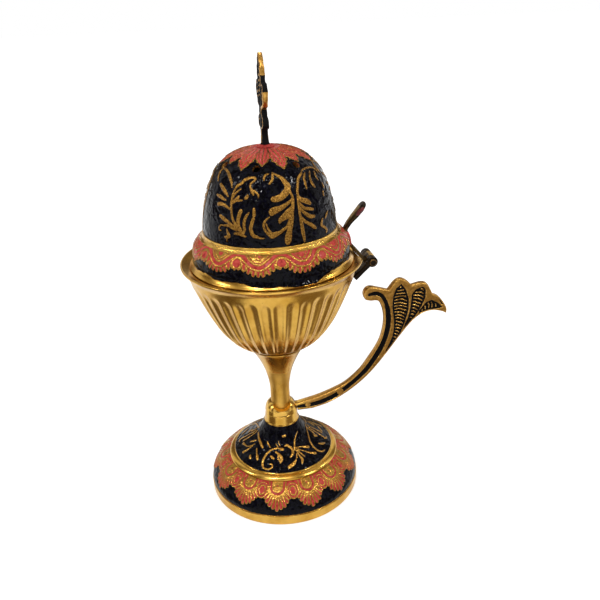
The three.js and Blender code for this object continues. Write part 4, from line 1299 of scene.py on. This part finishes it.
def make_finial():
    finial = plate("finial_casting", finial_outline(), finial_half, across_handle_plane, 0.38)
    collar = Turning([
        ("outer", spline([(4.2, 183.5), (4.0, 183.65), (3.0, 183.85), (2.3, 184.2), (1.95, 184.9),
                          (1.8, 186.2), (1.7, 188.4)], 6), 0.3),
        ("top", [(0.02, 188.6)], 0.8), ("axis", [(0.02, 176.0), (2.0, 176.0), (2.0, 183.6)], 1.0),
    ], 64, soften=0.08).make("collar")
    combine("UNION", finial, collar, threaded_rod(2.0, 174.8, 181.4))
    flat = points_of(finial)[:, 1:]
    y, z = flat.T
    inlay, ribs = finial_inlay(flat)
    from_edge = np.abs(signed(flat, resampled(finial_outline(), 0.5, closed=True)))
    ripple = 0.4 * np.sin(y * 1.3)
    # Along the plate's edge, the black bands under the low lobe and where the side lobes meet the top lobe
    # are painted shade.
    rim = least(z - 199.5 - ripple, most(208.0 - z + ripple, z - 214.4 - ripple))
    face = most(least(inlay, 1.0 - from_edge), 1.4 * (ribs - 0.45))
    write(finial, inlay=np.where(from_edge > 0.55, face, rim), shine=0, dull=1, coral=z - 184.35)
    sharpen(finial, 45)
    dress(finial, "lid_assembly", "inlaid_brass", "finial")


# Thumb lever, hinge leaf and pin

HINGE_X, HINGE_Z = 48.4, 124.9
BARREL, BORE, BLADE_LOW = 2.6, 1.5, 142.5


def along_hinge(name, turning):
    """A turned piece laid along the hinge's axis."""
    x, y, z = turning.surface.reshape(-1, 3).T
    points = np.stack([HINGE_X + x, z, HINGE_Z - y], 1)
    return face_out(new_object(name, points, closed_grid(*turning.shape)))


def ring_turning(outer, bore, low, high, edge, gap, end_gap, columns, soften):
    """A barrel or washer with softened ends."""
    return Turning([("outer", [(outer, low + edge), (outer, high - edge)], gap),
                    ("top", [(outer - 0.1, high), (bore, high)], end_gap),
                    ("bore", [(bore, high - 0.1), (bore, low)], 0.8),
                    ("under", [(bore + 0.1, low), (outer - 0.1, low)], end_gap)], columns, soften)


def barrel_piece(half):
    return along_hinge("barrel", ring_turning(BARREL, BORE, -half, half, 0.1, 0.6, 0.6, 64, 0.12))


def hinge_rod(radius, half, sides=32):
    return rod_piece((HINGE_X, 0, HINGE_Z), radius, half, (0, 1, 0), sides)


def roughen(piece, depth, seed):
    """The unevenness of a small casting."""
    points = points_of(piece)
    push = depth * value_noise(points, 1.6, seed)
    move_points(piece.data, points + read_vectors(piece, "normal") * push[:, None])
    piece.data.update()


def edge_wear(piece):
    """1 on a casting's corners, 0 on its flats."""
    ends = np.empty(len(piece.data.edges) * 2, np.int32)
    piece.data.edges.foreach_get("vertices", ends)
    first, second = ends.reshape(-1, 2).T
    normals = read_vectors(piece, "normal")
    bend = 1 - np.einsum("ij,ij->i", normals[first], normals[second])
    worn = np.zeros(len(normals))
    np.maximum.at(worn, first, bend)
    np.maximum.at(worn, second, bend)
    return share_of(worn * 4)


def lever_fields(lever, blade_line):
    """Paint, wear, painted light and painted shade of the thumb lever."""
    x, y, z = points_of(lever).T
    outward = x - np.interp(z, blade_line[:, 1], blade_line[:, 0])
    high = z > BLADE_LOW
    barrel = (np.hypot(x - HINGE_X, z - HINGE_Z) < 2.9) & (z > HINGE_Z + 0.4) & (x > HINGE_X - 0.6)
    spot = oval(y + 3.4, z - 150.0, 1.25, 1.8, 1.3)
    blade = share_of((z - BLADE_LOW) / 3) * share_of((152.2 - z) / 0.8)
    strap = share_of((133.5 - z) / 1.5) * share_of(0.4 + 0.6 * np.sin(y * 1.4))
    # The blade's inner side gets painted light; the strap gets rubbed streaks and the knuckle's top is
    # rubbed to brass.
    rubbed = 0.7 * blade * share_of(0.2 - 1.4 * outward) + 0.25 * strap
    shadow = most(1.6 * outward + 0.2, (-0.7 - y) / 1.1)
    # Painted shade darkens the blade's outer and front faces and, more lightly, the pad and strap; edge
    # wear stays faint on the shaded side.
    write(lever, coral=least(spot, most(z - 140.6, 134.2 - z, x - 39.3)), bright=z < 142,
          rubbed=most(rubbed, barrel),
          edge=edge_wear(lever) * np.where(high & (outward >= 0), 0.1, 0.6),
          dark=np.where(barrel, 0, np.where(high, 0.85 * share_of(shadow), 0.35)))


def make_lever():
    blade = spline([(35.7, 139.0), (36.5, 141.2), (38.0, 143.7), (40.0, 146.1), (42.1, 148.4),
                    (43.9, 150.5), (45.4, 152.5), (46.2, 153.6)], 6)
    t = along(blade) / along(blade)[-1]
    width = np.interp(t, [0, 0.18, 0.35, 0.6, 0.8, 0.92, 0.98, 1],
                      [2.4, 2.2, 2.5, 3.4, 3.7, 3.1, 1.9, 0.5])
    depth = np.interp(t, [0, 0.15, 0.4, 0.7, 0.88, 0.96, 1], [1.2, 1.1, 1.2, 1.3, 1.2, 0.9, 0.25])
    lever = loft("lever_casting", blade, width, depth)
    pad = spline([(37.9, 133.3), (37.85, 135), (37.5, 137.6), (36.8, 139.7), (35.9, 141.3)], 5)
    t = np.linspace(0, 1, len(pad))
    pad = loft("pad", pad, np.interp(t, [0, 0.1, 0.8, 1], [4.2, 4.5, 4.1, 2.6]),
               np.interp(t, [0, 0.06, 0.9, 1], [0.7, 0.8, 0.8, 0.7]), power=5)
    strap = spline([(37.9, 134.5), (39.2, 132.5), (42.0, 129.1), (44.6, 125.95), (45.9, 124.3),
                    (46.7, 123.4)], 4)
    combine("UNION", lever, pad, loft("strap", strap, 2.5, 0.85, power=7), barrel_piece(3.0))
    outline = [(38.4, 128.8), (38.4, 129.5), (37.6, 132.6), (37.4, 132.6), (37.2, 137.0),
               (36.8, 138.7), (35.5, 141.3), (33.6, 143.5), (31.4, 146.2),
               *between(DOME_LOW, DOME_HIGH, DOME)]
    lid_side = Turning([("outer", np.array(outline) + (0.3, 0), 1.5), ("top", [(1, 184)], 8),
                        ("axis", [(1, 128.8)], 8)], 240, soften=0.05).make("lid_side")
    combine("DIFFERENCE", lever, hinge_rod(BORE, 12), lid_side)
    roughen(lever, 0.06, 51)
    lever_fields(lever, blade)
    sharpen(lever, 42)
    dress(lever, "lid_assembly", "aged_brass", "thumb_lever")


def make_leaf():
    slope = 0.82
    down = np.array([-math.sin(slope), -math.cos(slope)])
    out = np.array([-down[1], down[0]])
    origin = np.array([HINGE_X, HINGE_Z])
    line = spline([origin + down * d - out * 0.3 for d in (0, 0.6, 2.2, 4.4, 6.6, 8.8, 10.8, 11.7,
                                                           11.9)], 4)
    t, at = np.linspace(0, 1, len(line)), [0, 0.02, 0.97, 1]
    leaf = loft("leaf_plate", line, np.interp(t, at, [6.8, 6.9, 6.9, 6.5]),
                np.interp(t, at, [1.0, 1.28, 1.28, 1.0]), columns=48, power=9)
    outline = [(1, 82), *(bowl_wall(8) + (0.2, 0)), (41.0, 128)]
    plug = Turning([("outer", outline, 1.5), ("axis", [(1, 128)], 8)], 240, soften=0.05)
    combine("UNION", leaf, barrel_piece(6.9))
    combine("DIFFERENCE", leaf, hinge_rod(3.4, 3.3, 64), hinge_rod(BORE, 12), plug.make("bowl_plug"))
    roughen(leaf, 0.05, 61)
    points = points_of(leaf)
    face = (points[:, [0, 2]] - origin) @ out
    # The leaf's outer face gets a little painted light, and the whole leaf painted shade that is deepest
    # at its ends, with faint edge wear.
    write(leaf, coral=1, edge=0.3 * edge_wear(leaf), rubbed=0.15 * share_of((face - 0.5) / 0.4),
          dark=np.clip((np.abs(points[:, 1]) - 6.4) * 3, 0.25, 0.85))
    sharpen(leaf, 42)
    dress(leaf, "stand", "aged_brass", "hinge_leaf")


def make_pin():
    turning = Turning([("shank", [(1.2, -7.2), (1.2, 7.2)], 0.8),
                       ("high_face", [(1.3, 7.25), (1.8, 7.25)], 0.3),
                       ("high_head", [(1.8, 7.45), (1.45, 7.8), (0.7, 7.93)], 0.3),
                       ("axis", [(0.02, 7.9), (0.02, -7.9)], 1.2),
                       ("low_head", [(0.7, -7.93), (1.45, -7.8), (1.8, -7.45)], 0.3),
                       ("low_face", [(1.8, -7.25), (1.3, -7.25)], 0.3)], 48, soften=0.07)
    pin = along_hinge("hinge_rivet", turning)
    radius = turning.outline[:, :1]
    # The shank and the middle of each head get painted shade; the rim of each head is worn bright.
    turning.write(pin, coral=1, dark=np.where(radius < 1.3, 0.7, 0),
                  edge=0.55 * share_of((radius - 1.3) / 0.2))
    dress(pin, "stand", "aged_brass", "hinge_pin")


# Bolt, washers and nuts

def hexagon(name, across, low, high, bore, columns=96):
    """A six-sided nut or bolt head with its corners turned off."""
    azimuth = round_steps(columns)
    flat = across / 2 / np.cos(np.radians((azimuth + 30) % 60 - 30))
    caps = np.array([[0.93], [1], [1], [0.93]]) * across / math.sqrt(3)
    radius = np.vstack([np.minimum(flat, caps), np.full((2, columns), max(bore, 0.02))])
    z = np.array([low, low + 0.25, high - 0.25, high, high, low])[:, None]
    made = new_object(name, turned(radius, z, azimuth).reshape(-1, 3), closed_grid(*radius.shape))
    sharpen(made, 20)
    return made


def make_fasteners():
    bolt = hexagon("bolt_screw", 7.6, 88.0, 91.2, 0)
    shank = rod_piece((0, 0, 66.2), 1.98, 22.4, sides=48)
    combine("UNION", bolt, threaded_rod(2.0, 27.7, 44.0), shank)
    sharpen(bolt, 30)
    dress(bolt, "stand", "fastener_brass", "tie_bolt")
    for place, body, low in (("bowl", "stand", 86.7), ("foot", "stand", 32.7),
                             ("finial", "lid_assembly", 179.8)):
        ring = ring_turning(5.4, 2.3, low, low + 1, 0.05, 0.5, 1.2, 72, 0.06)
        dress(ring.make(place + "_ring"), body, "fastener_brass", place + "_washer")
    for place, body, low in (("foot", "stand", 29.2), ("finial", "lid_assembly", 176.3)):
        nut = hexagon(place + "_hexagon", 7.0, low, low + 3.2, 2.3)
        dress(nut, body, "fastener_brass", place + "_nut")


# Floor, light and world

WALL_CARDS = [(a, a + 37) for a in range(8, 368, 45)]
ROOF_CARDS = [(a, a + 76) for a in range(20, 380, 90)]
FLOOR_CARDS = [(285, 345), (45, 105), (165, 225)]
FLOOR_REACH, LAMP_AIM = 9, 0.12
# Azimuth and height in degrees, distance and size in metres, watts
LAMPS = {"key": (235, 48, 1.2, (0.09, 0.09), 4.2), "fill": (318, 40, 1.3, (0.1, 0.1), 3.0),
         "top": (80, 66, 1.3, (0.12, 0.12), 2.4), "left_strip": (184, 33, 1.3, (0.05, 0.3), 2.2),
         "front_glint": (263, 57, 1.2, (0.05, 0.05), 0.8),
         "right_strip": (352, 30, 1.3, (0.03, 0.2), 1.0)}


def seen_by(graph, *rays):
    """1 for rays of any of the given kinds."""
    return reduce(lambda first, second: graph.math("MAXIMUM", first, second),
                  [graph.node("LightPath", f"Is {ray} Ray") for ray in rays])


def pale_floor(graph):
    """White in the picture, greyer towards the censer where the brass mirrors it."""
    reach = graph.node("VectorMath", "Value", {0: graph.place()}, operation="LENGTH")
    mirrored = graph.range(reach, 0.12, 1.6, 0.3, 0.9) * seen_by(graph, "Glossy")
    plain = graph.range(reach, 0.1, 1.6, 0.5, 0.9) * seen_by(graph, "Camera", "Transmission")
    return {"Base Color": (0.82, 0.82, 0.82, 1), "Roughness": 0.9, "Specular IOR Level": 0,
            "Emission Color": WHITE, "Emission Strength": graph.math("MAXIMUM", plain, mirrored)}


def brown_card(graph):
    """Glowing brown that fades to white at the sides."""
    tone = graph.patch(400, 0.35, 0.65, 2)
    brown = graph.mix(tone, (0.10, 0.075, 0.045, 1), (0.26, 0.20, 0.13, 1))
    brown = graph.mix(graph.range(graph.field("shade"), 0, 1), WHITE, brown)
    return {"Base Color": (0.02, 0.015, 0.01, 1), "Roughness": 1, "Specular IOR Level": 0,
            "Emission Color": brown, "Emission Strength": 1}


def add_floor():
    mesh = bpy.data.meshes.new("floor")
    corners = [(x * FLOOR_REACH, y * FLOOR_REACH, 0) for x, y in ((-1, -1), (1, -1), (1, 1), (-1, 1))]
    mesh.from_pydata(corners, [], [(0, 1, 2, 3)])
    mesh.materials.append(material(pale_floor))
    floor = link_object("floor", mesh)
    floor.location.z = -0.0002


def add_lamp(name, azimuth, height, distance, size, power):
    """A soft lamp that looks at the censer."""
    data = bpy.data.lights.new(name, "AREA")
    data.shape = "RECTANGLE"
    data.size, data.size_y = size
    data.energy = power
    up, around = math.radians(height), math.radians(azimuth)
    way = Vector((math.cos(up) * math.cos(around), math.cos(up) * math.sin(around), math.sin(up)))
    lamp = link_object(name, data)
    lamp.location = Vector((AXIS_X, 0, LAMP_AIM)) + way * distance
    lamp.rotation_euler = (-way).to_track_quat("-Z", "Y").to_euler()


def add_cards():
    """Brown cards round the set. Only polished surfaces see them."""
    points, faces, shade = [], [], []
    steps = 24
    for spans, rings in ((WALL_CARDS, [(2.2, 0.06), (2.2, 1.1), (2.0, 2.0), (1.5, 2.7)]),
                         (ROOF_CARDS, [(1.35, 2.75), (0.3, 2.9)]),
                         (FLOOR_CARDS, [(0.052, 0.0006), (0.9, 0.0006)])):
        for first, last in spans:
            start = len(points)
            for r, z in rings:
                for k in range(steps + 1):
                    a = math.radians(first + (last - first) * k / steps)
                    points.append((AXIS_X + r * math.cos(a), r * math.sin(a), z))
                    shade.append(min(1.0, min(k, steps - k) * (last - first) / steps / 10))
            for i in range(len(rings) - 1):
                for p in range(start + i * (steps + 1), start + i * (steps + 1) + steps):
                    faces.append((p, p + 1, p + steps + 2, p + steps + 1))
    mesh = bpy.data.meshes.new("cards")
    mesh.from_pydata(points, [], faces)
    mesh.materials.append(material(brown_card))
    cards = link_object("cards", mesh)
    write(cards, shade=shade)
    cards.visible_camera = False
    cards.visible_diffuse = False
    cards.visible_shadow = False
    cards.visible_transmission = False


def add_world():
    """White where it is seen or mirrored, dimmer as a light."""
    world = bpy.data.worlds.new("studio")
    bpy.context.scene.world = world
    graph = Graph(world, "Background")
    seen = seen_by(graph, "Camera", "Glossy", "Transmission")
    level = graph.node("MapRange", "Result", {"Value": seen, "To Min": 0.42, "To Max": 1})
    graph.link({"Color": WHITE, "Strength": level}, graph.shader)


add_camera()
make_foot()
make_stem()
make_bowl()
make_lid()
make_handle()
make_finial()
make_lever()
make_leaf()
make_pin()
make_fasteners()
add_floor()
for name, settings in LAMPS.items():
    add_lamp(name, *settings)
add_cards()
add_world()
bpy.context.scene.view_settings.view_transform = "Standard"
